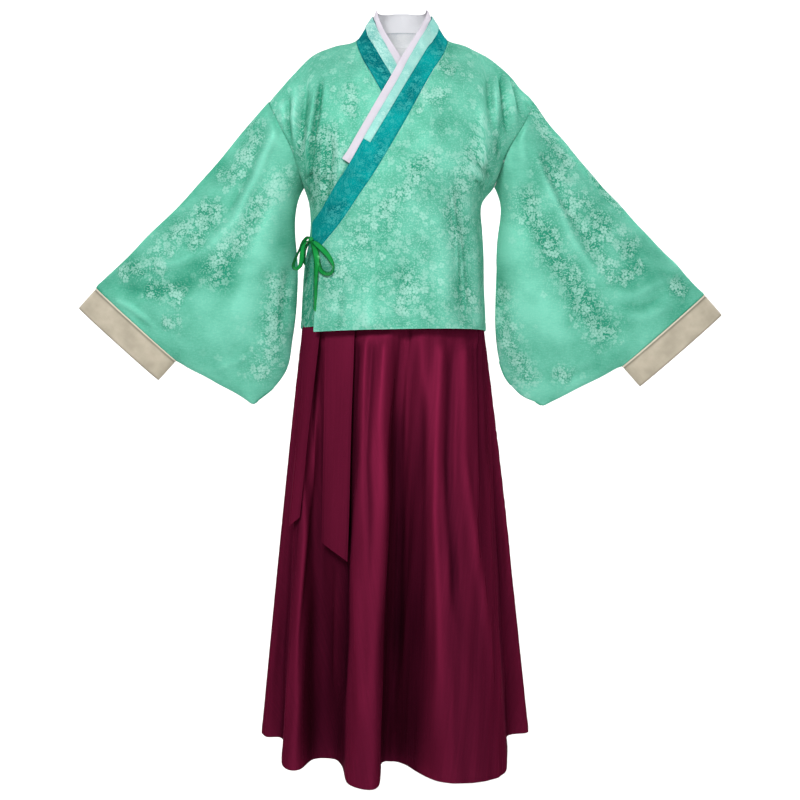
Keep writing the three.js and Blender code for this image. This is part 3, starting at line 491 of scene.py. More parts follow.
def satin_jacquard(name, ground, deep, light, figure_strength, roughness, size=1.0):
    """Satin woven with a blossom figure in its own colour. The figure's threads turn the other way,
    so it looks paler than the smooth ground. The ground is deeper inside the sprays. From proud it
    is painted deeper in the troughs of folds and along seams, as painted shade, and paler on their
    ridges, as painted highlight. size is the figure's size beside the jacket's."""
    material, tree, shader = finish_of(name)
    cut = node(tree, "UVMap", {}, uv_map="cut")
    cut = node(tree, "VectorMath", {0: cut, 1: (1 / size, 1 / size, 1)}, operation="MULTIPLY")
    # Drawn by hand for the loom, the blossoms are uneven, so the cut is pushed about by 2 mm or so.
    wander = node(tree, "TexNoise", {"Vector": cut, "Scale": 130.0, "Detail": 2.0}).outputs["Color"]
    drawn = node(tree, "VectorMath", {0: wander, 1: (0.0036, 0.0036, 0), 2: cut}, operation="MULTIPLY_ADD")
    spray = node(tree, "Attribute", {}, attribute_name="spray").outputs["Fac"]
    patchy = node(tree, "TexNoise", {"Vector": cut, "Scale": 45.0, "Detail": 2.0})
    patchy = node(tree, "Math", {0: patchy, 1: 1.8, 2: -0.1}, operation="MULTIPLY_ADD")
    spray = node(tree, "Math", {0: spray, 1: patchy, 2: 0.03}, operation="MULTIPLY_ADD")
    # Large blossoms 14.5 mm apart, smaller ones between them and buds among both.
    large = blossoms(tree, drawn, 0.0145, 0.0084, spray)
    aside = node(tree, "VectorMath", {0: drawn, 1: (3.017, 1.043, 0)}, operation="ADD")
    thinner = node(tree, "Math", {0: spray, 1: 0.8}, operation="MULTIPLY")
    small = blossoms(tree, aside, 0.0085, 0.0048, thinner)
    buds = node(tree, "TexNoise", {"Vector": aside, "Scale": 330.0, "Detail": 2.0})
    bud = node(tree, "MapRange", {0: buds, 1: 0.53, 2: 0.6, 4: 0.8})
    near = node(tree, "MapRange", {0: spray, 1: -0.1, 2: 0.7})
    bud = node(tree, "Math", {0: bud, 1: near}, operation="MULTIPLY")
    small = node(tree, "Math", {0: small, 1: 0.8}, operation="MULTIPLY")
    small = node(tree, "Math", {0: small, 1: bud}, operation="MAXIMUM")
    figure = node(tree, "Math", {0: large, 1: small}, operation="MAXIMUM")
    # The ground: deeper round the blossoms, with slow clouds of tone and thin level lines where the
    # weft lies uneven. The lines are drawn 2 mm apart, some ten times the real ones.
    slow = node(tree, "TexNoise", {"Vector": cut, "Scale": 15.0, "Detail": 3.0})
    level = node(tree, "VectorMath", {0: cut, 1: (110.0, 480.0, 0)}, operation="MULTIPLY")
    weft = node(tree, "TexNoise", {"Vector": level, "Scale": 1.0, "Detail": 2.0})
    tone = node(tree, "Math", {0: slow, 1: 1.4, 2: -0.56}, operation="MULTIPLY_ADD")
    tone = node(tree, "Math", {0: weft, 1: 0.4, 2: tone}, operation="MULTIPLY_ADD")
    # Painted light and shade: proud paints the ground paler on ridges and deeper in troughs and seams.
    proud = node(tree, "Attribute", {}, attribute_name="proud").outputs["Fac"]
    tone = node(tree, "Math", {0: proud, 1: -0.36, 2: tone}, operation="MULTIPLY_ADD")
    depth = node(tree, "Math", {0: spray, 1: 0.42, 2: tone}, operation="MULTIPLY_ADD", use_clamp=True)
    base = node(tree, "MixRGB", {"Fac": depth, 1: linear(ground), 2: linear(deep)})
    pale = node(tree, "Math", {0: figure, 1: figure_strength}, operation="MULTIPLY")
    colour = node(tree, "MixRGB", {"Fac": pale, 1: base, 2: linear(light)})
    rough = node(tree, "MapRange", {0: figure, 3: roughness, 4: roughness + 0.14})
    # Real threads lie 0.1 mm apart; the weave is drawn at 0.9 mm so that it can show at all.
    weave = threads(tree, cut, 0.0009, 0.25, 0.00008)
    relief = node(tree, "Bump", {"Height": figure, "Strength": 0.5, "Distance": 0.0002, "Normal": weave})
    wire(shader, {"Base Color": colour, "Roughness": rough, "Normal": relief, "Specular IOR Level": 0.0,
                  "Metallic": 0.12, "Specular Tint": linear(deep)})
    return material


# Mint silk-like satin: bright and smooth on the plain ground, matt and paler in the woven blossom.
mint = satin_jacquard("mint_satin_jacquard", "76c7af", "2b8a6e", "aedccf", 0.64, 0.52)

BACK_SPRAYS = (
    # points of the middle line, half width
    (((120, -60), (60, -150), (20, -240), (-60, -330)), 26),
    (((-140, -90), (-120, -190), (-150, -280), (-130, -390)), 22),
    (((130, -250), (90, -340), (120, -430), (70, -520)), 24),
    (((-30, -400), (-80, -460), (-70, -530)), 22),
    (((-30, -50), (-70, -120)), 18),
)
BACK_FOLDS = (
    # points, half width, height, fade in, fade out
    (((196, -118), (188, -190), (172, -262)), 11, -4, 0.3, 0.3),
    (((178, -110), (170, -190), (150, -262)), 12, 3, 0.3, 0.4),
    (((-196, -112), (-186, -186), (-174, -262)), 11, -4, 0.3, 0.3),
    (((-176, -104), (-166, -186), (-148, -262)), 12, 3, 0.3, 0.4),
    (((-178, -272), (-140, -262), (-96, -236)), 8, -3.5, 0.1, 0.6),
    (((170, -270), (128, -262), (88, -238)), 8, -3.5, 0.1, 0.6),
    (((-20, -150), (-26, -300), (-14, -430)), 24, -4, 0.3, 0.3),
    (((60, -330), (72, -430), (66, -535)), 18, 3, 0.4, 0.1),
    (((92, -300), (102, -430), (94, -535)), 13, -3, 0.4, 0.1),
    (((-80, -340), (-92, -440), (-88, -535)), 18, 3.5, 0.4, 0.1),
    (((-130, -400), (-136, -470), (-132, -535)), 12, -3, 0.4, 0.1),
)
turns = np.linspace(0, 180, 62)[1:-1]
neck_sewn, neck_fold, _, _ = neck_lines(turns)
right_side, left_side = side_line("right"), side_line("left")
back_top = np.concatenate([shoulder_points(1)[::-1], sewn_beside(neck_sewn, neck_fold), shoulder_points(-1)])
# The columns lie closer together towards the sides, where the body turns away.
spread = run_along(back_top)
spread = 0.25 * spread + 0.75 * (0.5 - 0.5 * np.cos(math.pi * spread))
back_low = right_side[0] + (left_side[0] - right_side[0]) * spread[:, None]
back_flat = between(back_low, back_top, right_side, left_side)
back_points = on_body(back_flat, "back")
low, top, start, end = from_edges(back_points)
x, z = back_flat[..., 0], back_flat[..., 1]
free = smooth(0, 16, top) * smooth(0, 16, start) * smooth(0, 16, end)
rise = (creases(x, z, BACK_FOLDS) + ripple(x, z, 0.7, 95)) * free
# Painted light and shade from the folds, and painted shade along the side, shoulder and neck seams.
tone = painted_shading(rise, start, end, top)
rise += turned_edge(low) + seam_dip(top, x)
rise += seam_dip(start, z, seam_depth(back_points[:, :1])) + seam_dip(end, z, seam_depth(back_points[:, -1:]))
back_points = raised(back_points, rise)
back = cloth("jacket_back", back_points, mint, CLOTH, cut=unrolled(back_flat, "back"),
             spray=np.maximum(sprays_at(x, z, BACK_SPRAYS), strewn(z)), proud=tone)
sewn_in(back, "back")

# ---------------------------------------------------------------- the jacket's two fronts
# Two panels of the same jacquard, each with a turned hem and hanging edge. The wearer's left front
# laps over the right one, and both are sewn to the back, the sleeves and the collar.
WRAP = 6                          # how far the upper front stands off the under front
OVER_EDGE = (-146, -153)          # x of the hanging edge at the collar's end and at the hem
UNDER_EDGE = (76, 95)
HEM_DROP = {1: 6, -1: -2}         # how much lower the hem hangs at the hanging edge of each front
OVER_END, UNDER_END = 450, 335    # how far the collar runs down each front


def collar_lines(runs, side):
    """The collar's sewn, fold and free edge down a front, and the width of its middle strip."""
    sewn, fold, free = (np.stack([side * read(COLLAR, "run", name + "_x", runs),
                                  read(COLLAR, "run", name + "_z", runs)], -1)
                        for name in ("sewn", "fold", "free"))
    return sewn, fold, free, read(COLLAR, "run", "middle", runs)


def wrap_lift(x, z):
    """The extra stand-off of the upper front, gone at the shoulder and at the side it is sewn to."""
    off_shoulder = smooth(0, 60, body_depth(x, z, "front"))
    return WRAP * off_shoulder * smooth(0, 45, read(BODY, "z", "right", z) - x)


def front_piece(name, solid, side, last_run, edge, lift, folds, sprays, shade):
    """Makes a front. shade says, as creases do, where it looks deeper because something shades it."""
    sewn, fold, _, _ = collar_lines(last_run * np.linspace(0, 1, 150)**1.5, side)
    seam = sewn_beside(sewn, fold)[:0:-1]
    corner = (edge[0], seam[0, 1] - 4)
    line = np.concatenate([[corner], seam, shoulder_points(side)])
    seam_side = "right" if side == 1 else "left"
    side_edge = side_line(seam_side)
    hem_corner = np.array((edge[1], SIDE_HEM[seam_side] - HEM_DROP[side]))
    spread = run_along(line)
    spread = 0.25 * spread + 0.75 * np.sin(spread * math.pi / 2)
    hem = hem_corner + (side_edge[0] - hem_corner) * spread[:, None]
    hanging = hem_corner + (corner - hem_corner) * run_along(side_edge)[:, None]
    cut_flat = between(hem, line, hanging, side_edge)
    x, z = cut_flat[..., 0], cut_flat[..., 1]
    points = on_body(cut_flat, "front", lift(x, z))
    low, top, start, end = from_edges(points)
    rise = (creases(x, z, folds) + ripple(x, z, 0.6, 90)) * smooth(0, 12, top) * smooth(0, 12, end)
    # Painted light and shade from the folds, and painted shade along the side seam and where shade lays it;
    # the hem, the hanging edge and the collar seam are painted paler, as painted highlights.
    tone = painted_shading(rise, end) - creases(x, z, shade)
    tone += 0.9 * bell(low, 2) + 0.9 * bell(start, 2) + 0.5 * bell(top, 2)
    rise += turned_edge(low) + turned_edge(start, 12)
    rise += seam_dip(end, z, seam_depth(points[:, -1:])) + seam_dip(top, x)
    piece = cloth(name, raised(points, rise), mint, CLOTH, cut=unrolled(cut_flat, "front"),
                  spray=np.maximum(sprays_at(x, z, sprays), strewn(z)), proud=tone)
    sewn_in(piece, solid)


OVER_SPRAYS = (
    # points of the middle line, half width
    (((54, -219), (18, -262), (-3, -311), (-38, -339), (-66, -366)), 20),
    (((-60, -360), (-95, -408), (-109, -450), (-123, -499)), 17),
    (((132, -202), (103, -273), (89, -329), (97, -378), (75, -408)), 17),
    (((32, -416), (18, -466), (-17, -515)), 17),
    (((119, -448), (134, -512)), 15),
    (((18, -109), (54, -128), (86, -101)), 13),
    (((60, -60), (100, -80)), 10),
    (((41, -150), (6, -132)), 12),
    (((153, -152), (132, -196), (142, -240), (150, -266)), 10),
)
OVER_FOLDS = (
    (((153, -70), (156, -145), (160, -190)), 6, -4.5, 0.3, 0.5),
    (((164, -66), (168, -150), (176, -225)), 6, 5.0, 0.3, 0.4),
    (((174, -74), (181, -133), (190, -200)), 4.5, -6.5, 0.25, 0.4),
    (((184, -74), (196, -127), (206, -186)), 6, 4.6, 0.25, 0.4),
    (((194, -80), (207, -127), (218, -166)), 4.5, -5.5, 0.25, 0.4),
    (((221, -112), (231, -146), (236, -166)), 5, -2.6, 0.4, 0.4),
    (((172, -144), (172, -190), (180, -238)), 8, -5, 0.3, 0.3),
    (((142, -120), (144, -200), (152, -250)), 11, 4.5, 0.4, 0.4),
    (((146, -240), (158, -252), (166, -264)), 4, -5, 0.3, 0.1),
    (((112, -212), (140, -244), (164, -264)), 5, -5.5, 0.5, 0.1),
    (((104, -236), (130, -258), (150, -268)), 6, 4.0, 0.5, 0.2),
    (((118, -262), (140, -274), (150, -282)), 4, -3.5, 0.5, 0.2),
    (((92, -248), (106, -377), (112, -538)), 14, -4.9, 0.25, 0.05),
    (((126, -290), (130, -400), (136, -538)), 11, 3.2, 0.3, 0.05),
    (((62, -280), (70, -420), (76, -538)), 16, 2.9, 0.4, 0.05),
    (((10, -360), (2, -460), (4, -538)), 15, -3.6, 0.5, 0.05),
    (((-50, -400), (-58, -480), (-54, -538)), 14, 2.7, 0.5, 0.05),
    (((-104, -430), (-108, -500), (-112, -538)), 9, -2.6, 0.5, 0.05),
    (((20, -236), (60, -258), (104, -266)), 8, -2.0, 0.5, 0.4),
    (((84, -260), (96, -360), (100, -470)), 4, 1.8, 0.3, 0.3),
    (((98, -330), (108, -420), (116, -520)), 4, 2.0, 0.3, 0.2),
    (((60, -80), (70, -150), (66, -220)), 16, -1.6, 0.4, 0.5),
)
front_piece("jacket_front_over", "front_over", 1, OVER_END, OVER_EDGE, wrap_lift, OVER_FOLDS, OVER_SPRAYS, ())

UNDER_SPRAYS = (
    (((-152, -168), (-123, -208), (-140, -256), (-150, -330)), 24),
    (((-96, -92), (-92, -137), (-84, -170)), 12),
    (((-182, -160), (-174, -196), (-184, -236)), 9),
    (((-30, -300), (10, -400), (-20, -500)), 18),
)
UNDER_FOLDS = (
    (((-139, -66), (-146, -122), (-150, -157), (-158, -203), (-166, -266)), 3.6, -6.5, 0.4, 0.03),
    (((-149, -66), (-156, -122), (-161, -157), (-168, -203), (-173, -250)), 6, 4.6, 0.35, 0.3),
    (((-168, -80), (-175, -150), (-181, -215)), 6, -5.0, 0.3, 0.4),
    (((-184, -93), (-192, -155), (-190, -222)), 6, 6.0, 0.25, 0.35),
    (((-201, -108), (-205, -160), (-197, -212)), 5, -7.0, 0.3, 0.4),
    (((-215, -118), (-219, -150)), 5, 3.5, 0.4, 0.4),
    (((-127, -180), (-125, -228), (-131, -261), (-139, -312)), 6, -5.0, 0.3, 0.3),
    (((-140, -190), (-142, -250), (-150, -300)), 7, 4.0, 0.3, 0.3),
    (((-110, -200), (-108, -250), (-118, -300)), 7, 3.5, 0.3, 0.3),
    (((-178, -262), (-162, -262), (-142, -246)), 4, -5, 0.1, 0.5),
    (((-176, -272), (-168, -296), (-156, -330)), 4.5, -4.5, 0.1, 0.5),
    (((-120, -70), (-118, -150)), 9, -2.5, 0.3, 0.5),
    (((-158, -370), (-164, -430), (-166, -548)), 17, -6, 0.1, 0.05),
)
UNDER_SHADE = (
    # Where the upper front's hanging edge and the folds at the arm shade it, and it looks deeper.
    (((-164, -372), (-167, -430), (-169, -560)), 17, 1.6, 0.02, 0.02),
    (((-144, -70), (-154, -150), (-164, -250)), 14, 0.8, 0.3, 0.1),
    (((-130, -190), (-140, -250), (-148, -320)), 16, 0.8, 0.3, 0.1),
    (((-134, -90), (-136, -200), (-138, -310)), 32, 0.75, 0.35, 0.1),
    (((-142, -76), (-146, -126), (-151, -160), (-159, -204), (-165, -280)), 3, 1.1, 0.25, 0.02),
)
front_piece("jacket_front_under", "front_under", -1, UNDER_END, UNDER_EDGE, lambda x, z: 0 * x, UNDER_FOLDS,
            UNDER_SPRAYS, UNDER_SHADE)

# ---------------------------------------------------------------- the two sleeves
# Each sleeve is one piece of the same jacquard, folded along its upper edge, seamed below, and sewn
# round the armhole. It widens to a rounded bag under the wrist and narrows to the cuff.
SLEEVE_ROWS, SLEEVE_COLUMNS = 140, 79
# From the armhole (s 0) to the cuff's seam (s 1): half the sleeve's depth, and where its upper fold
# and its lower edge run.
SLEEVE = {
    "s": (0, 0.07, 0.16, 0.32, 0.46, 0.57, 0.65, 0.74, 0.76, 0.78, 0.88, 1),
    "half": (66, 60, 55, 50, 45, 42, 39, 35, 34, 33, 27, 17),
}
LEFT_SLEEVE = {
    "up_x": (243, 261, 290, 342, 391, 427, 452, 481, 487, 493, 523, 560),
    "up_z": (-113, -138, -174, -235, -288, -328, -355, -384, -391, -397, -428, -467),
    "low_x": (171.5, 183, 184, 174, 175, 188, 217, 251, 262, 275, 336, 408),
    "low_z": (-268, -300, -349, -456, -550, -614, -649, -668, -673, -666.5, -636, -600),
}
RIGHT_SLEEVE = {
    "up_x": (-243, -264, -294, -343, -387, -422, -448, -479, -486, -492, -525, -564),
    "up_z": (-113, -137, -171, -229, -279, -316, -342, -371, -378, -384, -416, -455),
    "low_x": (-181, -194, -199, -194, -202, -211, -234, -265, -274, -286, -345, -416),
    "low_z": (-268, -299, -345, -456, -555, -604, -637, -661, -668, -661, -628, -589),
}


def loop_middle(row):
    """The middle of a closed row of points."""
    return row.mean(axis=0)


def sleeve_half(shape, edge):
    """The flat points and half depths of a sleeve's front, from its armhole to its cuff seam."""
    table = dict(SLEEVE, **shape)
    s = 0.6 * np.linspace(0, 1, SLEEVE_ROWS) + 0.2 - 0.2 * np.cos(np.linspace(0, math.pi, SLEEVE_ROWS))
    w = 0.5 - 0.5 * np.cos(np.linspace(0, math.pi, SLEEVE_COLUMNS))
    low, top = (np.stack([read(table, "s", line + axis, s) for axis in ("_x", "_z")], -1)[:, None]
                for line in ("low", "up"))
    # At the armhole the sleeve keeps the body's own edge, which it loses over a quarter of its length.
    hang, to_cuff = smooth(0, 0.25, s)[:, None], smooth(0.75, 1, s)[:, None]
    seam_z = ARMHOLE_TOP + (UNDERARM - ARMHOLE_TOP) * w
    seam = np.stack([read(BODY, "z", edge, seam_z), seam_z], -1)
    chord = seam[-1] - seam[0]
    bend = seam - seam[0] - chord * w[:, None]
    away = np.array((abs(chord[1]) * np.sign(seam[0, 0]), -abs(chord[0]))) / np.linalg.norm(chord)
    flat = top + (low - top) * w[None, :, None] + bend * (1 - hang)[..., None]
    depth = body_depth(seam[:, 0], seam[:, 1], "front")
    flat += away * 0.15 * smooth(0.03, 0, s)[:, None, None]
    bag, round_end = np.sqrt(w) * (1 - w)**0.8 / 0.42, np.sqrt(4 * w * (1 - w))
    half = read(table, "s", "half", s)[:, None] * (bag * (1 - to_cuff) + round_end * to_cuff)
    return flat, depth * (1 - hang) + half * hang


def round_the_arm(front, back):
    """The columns of a sleeve's front and then of its back, as one loop."""
    return np.concatenate([front, back[:, -2:0:-1]], axis=1)


def sleeve_piece(name, solid, shape, edge, folds, sprays):
    """Makes a sleeve. folds and sprays are given for the front and then for the back."""
    flat, depth = sleeve_half(shape, edge)
    x, z = flat[..., 0], flat[..., 1]
    front, back = (np.stack([x, out * depth, z], -1) for out in (-1, 1))
    over = from_edges(front)[2] - from_edges(flat)[2]
    over -= over[:, [SLEEVE_COLUMNS // 2]]
    laid_out = flat + over[..., None] * unit(flat[:, -1:] - flat[:, :1])
    points = round_the_arm(front, back)
    from_armhole, from_cuff, _, _ = from_edges(points)
    from_seam = np.linalg.norm(points - points[:, [SLEEVE_COLUMNS - 1]], axis=-1)
    rise = round_the_arm(*(creases(x, z, face) + ripple(x, z, 0.9, 120) for face in folds))
    rise *= smooth(0, 10, from_armhole) * smooth(0, 10, from_cuff)
    # Painted light and shade from the folds, and painted shade along the cuff seam and the lower seam; the
    # part towards the upper fold, which faces the lamps, is painted deeper.
    tone = painted_shading(rise, from_cuff, from_seam) - 0.42 * smooth(60, 200, from_seam)
    along = np.arange(points.shape[1])[None] * 3.0
    rise += seam_dip(from_armhole, along, seam_depth(points[:1])) + seam_dip(from_cuff, along)
    points = raised(points, rise, loop_middle, looped=True)
    piece = cloth(name, points, mint, CLOTH, loop_middle, looped=True, cut=round_the_arm(laid_out, laid_out),
                  spray=round_the_arm(*(sprays_at(x, z, face) for face in sprays)), proud=tone)
    sewn_in(piece, solid)
    return points


LEFT_SPRAYS = (
    (((233, -128), (264, -175), (294, -222), (320, -246)), 13),
    (((243, -205), (272, -236), (299, -270), (330, -312), (365, -344), (402, -376), (441, -403)), 17),
    (((284, -286), (335, -357), (370, -420), (404, -424)), 13),
    (((214, -258), (243, -337), (279, -403), (320, -469), (360, -522), (398, -574)), 21),
    (((364, -446), (404, -438), (446, -406)), 9),
    (((492, -446), (530, -466)), 11),
    (((182, -440), (188, -505), (198, -565), (219, -611), (254, -645)), 15),
    (((276, -608), (316, -624)), 11),
    (((300, -180), (340, -232), (380, -290), (420, -330)), 8),
)
LEFT_FOLDS = (
    # The trough from the underarm to the cuff, the ridges on both sides of it, and lesser folds.
    (((214, -252), (243, -337), (279, -403), (320, -469), (360, -522), (396, -568)), 17, -6.0, 0.15, 0.15),
    (((234, -200), (259, -266), (289, -322), (310, -373), (345, -423), (384, -474)), 9, 5.6, 0.15, 0.3),
    (((186, -300), (204, -400), (250, -500), (322, -592)), 34, 6.0, 0.25, 0.2),
    (((252, -222), (290, -300), (330, -360), (372, -414)), 8, -3.0, 0.3, 0.4),
    (((222, -150), (215, -200), (222, -246)), 9, 3.8, 0.3, 0.3),
    (((366, -468), (426, -470), (467, -450), (504, -428)), 8, 3.4, 0.3, 0.3),
    (((384, -490), (440, -494), (490, -468)), 7, -3.2, 0.4, 0.3),
    (((400, -512), (452, -510), (500, -486)), 8, 2.7, 0.4, 0.3),
    (((460, -420), (500, -432), (530, -446)), 12, -3.0, 0.4, 0.2),
    (((286, -196), (356, -290), (430, -374)), 13, 2.5, 0.3, 0.4),
    (((176, -400), (184, -500), (200, -580)), 12, -2.7, 0.3, 0.3),
    (((240, -622), (310, -620), (380, -594)), 9, -2.5, 0.4, 0.3),
)
LEFT_BACK_SPRAYS = (
    (((250, -170), (300, -230), (330, -300), (390, -350)), 20),
    (((210, -300), (250, -390), (240, -480), (280, -560)), 20),
    (((420, -380), (400, -450), (440, -500)), 16),
    (((330, -600), (290, -640)), 14),
)
LEFT_BACK_FOLDS = (
    (((212, -250), (262, -350), (320, -450), (380, -540)), 17, -5.6, 0.15, 0.2),
    (((250, -230), (310, -340), (370, -440)), 10, 4.9, 0.2, 0.4),
    (((190, -340), (226, -470), (310, -580)), 32, 5.2, 0.3, 0.3),
    (((360, -480), (430, -470), (496, -430)), 8, -2.0, 0.4, 0.3),
)
left_points = sleeve_piece("sleeve_left", "sleeve_left_arm", LEFT_SLEEVE, "right",
                           (LEFT_FOLDS, LEFT_BACK_FOLDS), (LEFT_SPRAYS, LEFT_BACK_SPRAYS))

RIGHT_SPRAYS = (
    (((-276, -146), (-260, -190), (-282, -219), (-300, -250), (-344, -262)), 13),
    (((-369, -290), (-350, -325), (-388, -340), (-420, -366), (-441, -402), (-456, -414), (-414, -420)), 16),
    (((-330, -300), (-352, -346), (-392, -392)), 12),
    (((-209, -226), (-217, -262), (-250, -300), (-272, -338), (-294, -371), (-326, -392), (-337, -430),
      (-349, -476)), 16),
    (((-240, -415), (-223, -467), (-234, -512), (-240, -550), (-246, -583), (-262, -610), (-268, -640)), 16),
    (((-524, -435), (-486, -418), (-465, -435)), 10),
    (((-470, -452), (-430, -466), (-392, -480)), 14),
    (((-400, -520), (-440, -520)), 9),
)
RIGHT_FOLDS = (
    # The sharp ridge from the shoulder, the broad plain swell beside it, and the level folds above
    # the cuff.
    (((-222, -170), (-244, -217), (-260, -256), (-284, -300), (-300, -338), (-348, -382), (-384, -414)),
     8, 6.0, 0.12, 0.35),
    (((-250, -190), (-282, -260), (-314, -316), (-350, -352)), 8, -3.8, 0.2, 0.4),
    (((-206, -236), (-238, -320), (-262, -402), (-294, -500), (-366, -588)), 26, 5.6, 0.15, 0.15),
    (((-232, -282), (-270, -352), (-312, -410), (-340, -474)), 12, -4.5, 0.2, 0.3),
    (((-205, -400), (-214, -470), (-222, -540)), 10, -4.1, 0.3, 0.3),
    (((-244, -130), (-230, -184), (-219, -221)), 9, 3.4, 0.3, 0.3),
    (((-536, -452), (-470, -466), (-402, -462), (-350, -430)), 15, -4.5, 0.2, 0.3),
    (((-470, -424), (-401, -410), (-346, -384)), 8, 3.8, 0.3, 0.4),
    (((-540, -472), (-500, -490), (-462, -520), (-436, -546)), 6, 3.8, 0.2, 0.3),
    (((-500, -505), (-446, -530), (-390, -545)), 10, -3.0, 0.3, 0.5),
    (((-268, -572), (-305, -592), (-352, -610)), 4, 2.6, 0.3, 0.3),
    (((-290, -215), (-360, -290), (-430, -350)), 16, 2.2, 0.3, 0.4),
)
RIGHT_BACK_SPRAYS = (
    (((-250, -170), (-290, -250), (-350, -300), (-380, -360)), 20),
    (((-220, -310), (-240, -400), (-290, -470), (-270, -560)), 20),
    (((-430, -400), (-460, -450), (-420, -500)), 15),
    (((-330, -590), (-280, -640)), 14),
)
RIGHT_BACK_FOLDS = (
    (((-214, -250), (-250, -350), (-310, -440), (-390, -520)), 17, -5.6, 0.15, 0.2),
    (((-262, -240), (-320, -340), (-386, -430)), 10, 4.9, 0.2, 0.4),
    (((-210, -360), (-246, -480), (-320, -580)), 32, 5.2, 0.3, 0.3),
    (((-370, -480), (-440, -470), (-500, -430)), 8, -2.0, 0.4, 0.3),
)
right_points = sleeve_piece("sleeve_right", "sleeve_right_arm", RIGHT_SLEEVE, "left",
                            (RIGHT_FOLDS, RIGHT_BACK_FOLDS), (RIGHT_SPRAYS, RIGHT_BACK_SPRAYS))

# ---------------------------------------------------------------- the two cuffs
# A plain band of beige cotton sateen sewn round each sleeve's end, with a fine raised edge along
# the seam and a pressed fold at the wrist.
CUFF_WIDTH = 50
CUFF_ROWS = 30
PIPING, SEWN_LINE = 1.8, 4.6      # how far from the seam the raised edge and the line beside it lie

# Cotton sateen: soft, hardly shiny, with threads that just show and faint pressed creases. It is
# painted darker in the troughs of its creases, along the sewn line and at the wrist fold, as painted
# shade, and paler along the raised edge at the seam, as a painted highlight.
beige, tree, shader = finish_of("beige_cotton_sateen")
cut = node(tree, "UVMap", {}, uv_map="cut")
cloud = node(tree, "TexNoise", {"Vector": cut, "Scale": 30.0, "Detail": 4.0})
worn = node(tree, "MapRange", {0: cloud, 1: 0.35, 2: 0.68})
plain = node(tree, "MixRGB", {"Fac": worn, 1: linear("a49b89"), 2: linear("b9af9c")})
# Painted shade where proud is below 0, in troughs and seams; painted highlight on the raised edge.
proud = node(tree, "Attribute", {}, attribute_name="proud").outputs["Fac"]
painted_crease_shade = node(tree, "MapRange", {0: proud, 1: 0.0, 2: -1.0})
plain = node(tree, "MixRGB", {"Fac": painted_crease_shade, 1: plain, 2: linear("7d7666")})
edge = node(tree, "Attribute", {}, attribute_name="spray").outputs["Fac"]
colour = node(tree, "MixRGB", {"Fac": edge, 1: plain, 2: linear("d9d2bf")})
wire(shader, {"Base Color": colour, "Roughness": 0.6, "Normal": threads(tree, cut, 0.0011, 0.35, 0.00012),
              "Specular IOR Level": 0.3, "Sheen Weight": 0.15})


def cuff_piece(name, solid, end, folds):
    """Makes a cuff from the sleeve's last loop of points."""
    edge = unit(end[0] - end[SLEEVE_COLUMNS - 1])
    way = np.array((math.copysign(abs(edge[2]), end[0][0]), 0, -abs(edge[0])))
    reach = 0.5 - 0.5 * np.cos(np.linspace(0, 1, CUFF_ROWS) * math.pi)[:, None]
    reach = SEAM + (CUFF_WIDTH - SEAM) * reach
    around = run_along(np.concatenate([end, end[:1]]))[:-1][None] * 1000 + 0 * reach
    folded = creases(around, reach, folds) * smooth(0, 6, reach) * smooth(CUFF_WIDTH, CUFF_WIDTH - 8, reach)
    piping = bell(reach - PIPING, 1.3)
    rise = folded + 0.9 * piping - 0.8 * bell(reach - SEWN_LINE, 1.1)
    rise -= 0.8 * bell(CUFF_WIDTH - reach, 1.4) + 0.4 * bell(reach - CUFF_WIDTH + 4, 0.9)
    points = raised(end[None] + way * reach[..., None], rise, loop_middle, looped=True)
    # Painted shade in the troughs, along the sewn line and at the wrist fold; the raised edge (spray) is
    # painted paler, as a painted highlight.
    piece = cloth(name, points, beige, CLOTH, loop_middle, looped=True, spray=piping,
                  proud=painted_shading(folded, reach - SEWN_LINE, CUFF_WIDTH - reach))
    sewn_in(piece, solid)


CUFF_FOLDS = (
    # Points are (thousandths of the way round, millimetres from the seam).
    (((40, 10), (110, 30), (190, 40)), 12, 1.1, 0.4, 0.4),
    (((170, 8), (240, 24), (300, 44)), 12, -0.9, 0.4, 0.4),
    (((310, 44), (370, 20), (440, 8)), 12, 1.1, 0.4, 0.4),
    (((400, 46), (450, 30)), 10, -0.7, 0.4, 0.4),
    (((600, 8), (660, 30), (760, 44)), 12, -1.0, 0.4, 0.4),
    (((820, 10), (880, 34)), 10, 0.9, 0.4, 0.4),
)
cuff_piece("cuff_left", "cuff_left_arm", left_points[-1], CUFF_FOLDS)
cuff_piece("cuff_right", "cuff_right_arm", right_points[-1], CUFF_FOLDS[::-1])

# ---------------------------------------------------------------- the collar's wide band
# A folded band of teal jacquard sewn to the neckline and down both fronts. Its lower end on the upper
# front is cut upright, where the tie holds it.
BAND_POINT = (-157, -375)     # lowest corner of the band's upright end
UPRIGHT_FROM = 400            # how far down the upper front the band begins to narrow to that corner
STRIPS_END = 190              # how far the two strips run down the under front
DOWN, ROUND_NECK = 90, 60     # stations down each front and behind the neck


def collar_stations(over_end, under_end):
    """Edges of the collar from the upper front's lower end up, round the neck and down the under
    front: the sewn, fold and free edge, the middle strip's inner edge, and where each station lies."""
    spaced = np.linspace(0, 1, DOWN)**1.7
    parts = (collar_lines(over_end * spaced[::-1], 1), neck_lines(np.linspace(0, 180, ROUND_NECK)[1:-1]),
             collar_lines(under_end * spaced, -1))
    sewn, fold, free, middle = (np.concatenate(edges) for edges in zip(*parts))
    place = np.repeat(["over", "neck", "under"], [DOWN, ROUND_NECK - 2, DOWN])
    return sewn, fold, free, fold + unit(sewn - fold) * middle[:, None], place


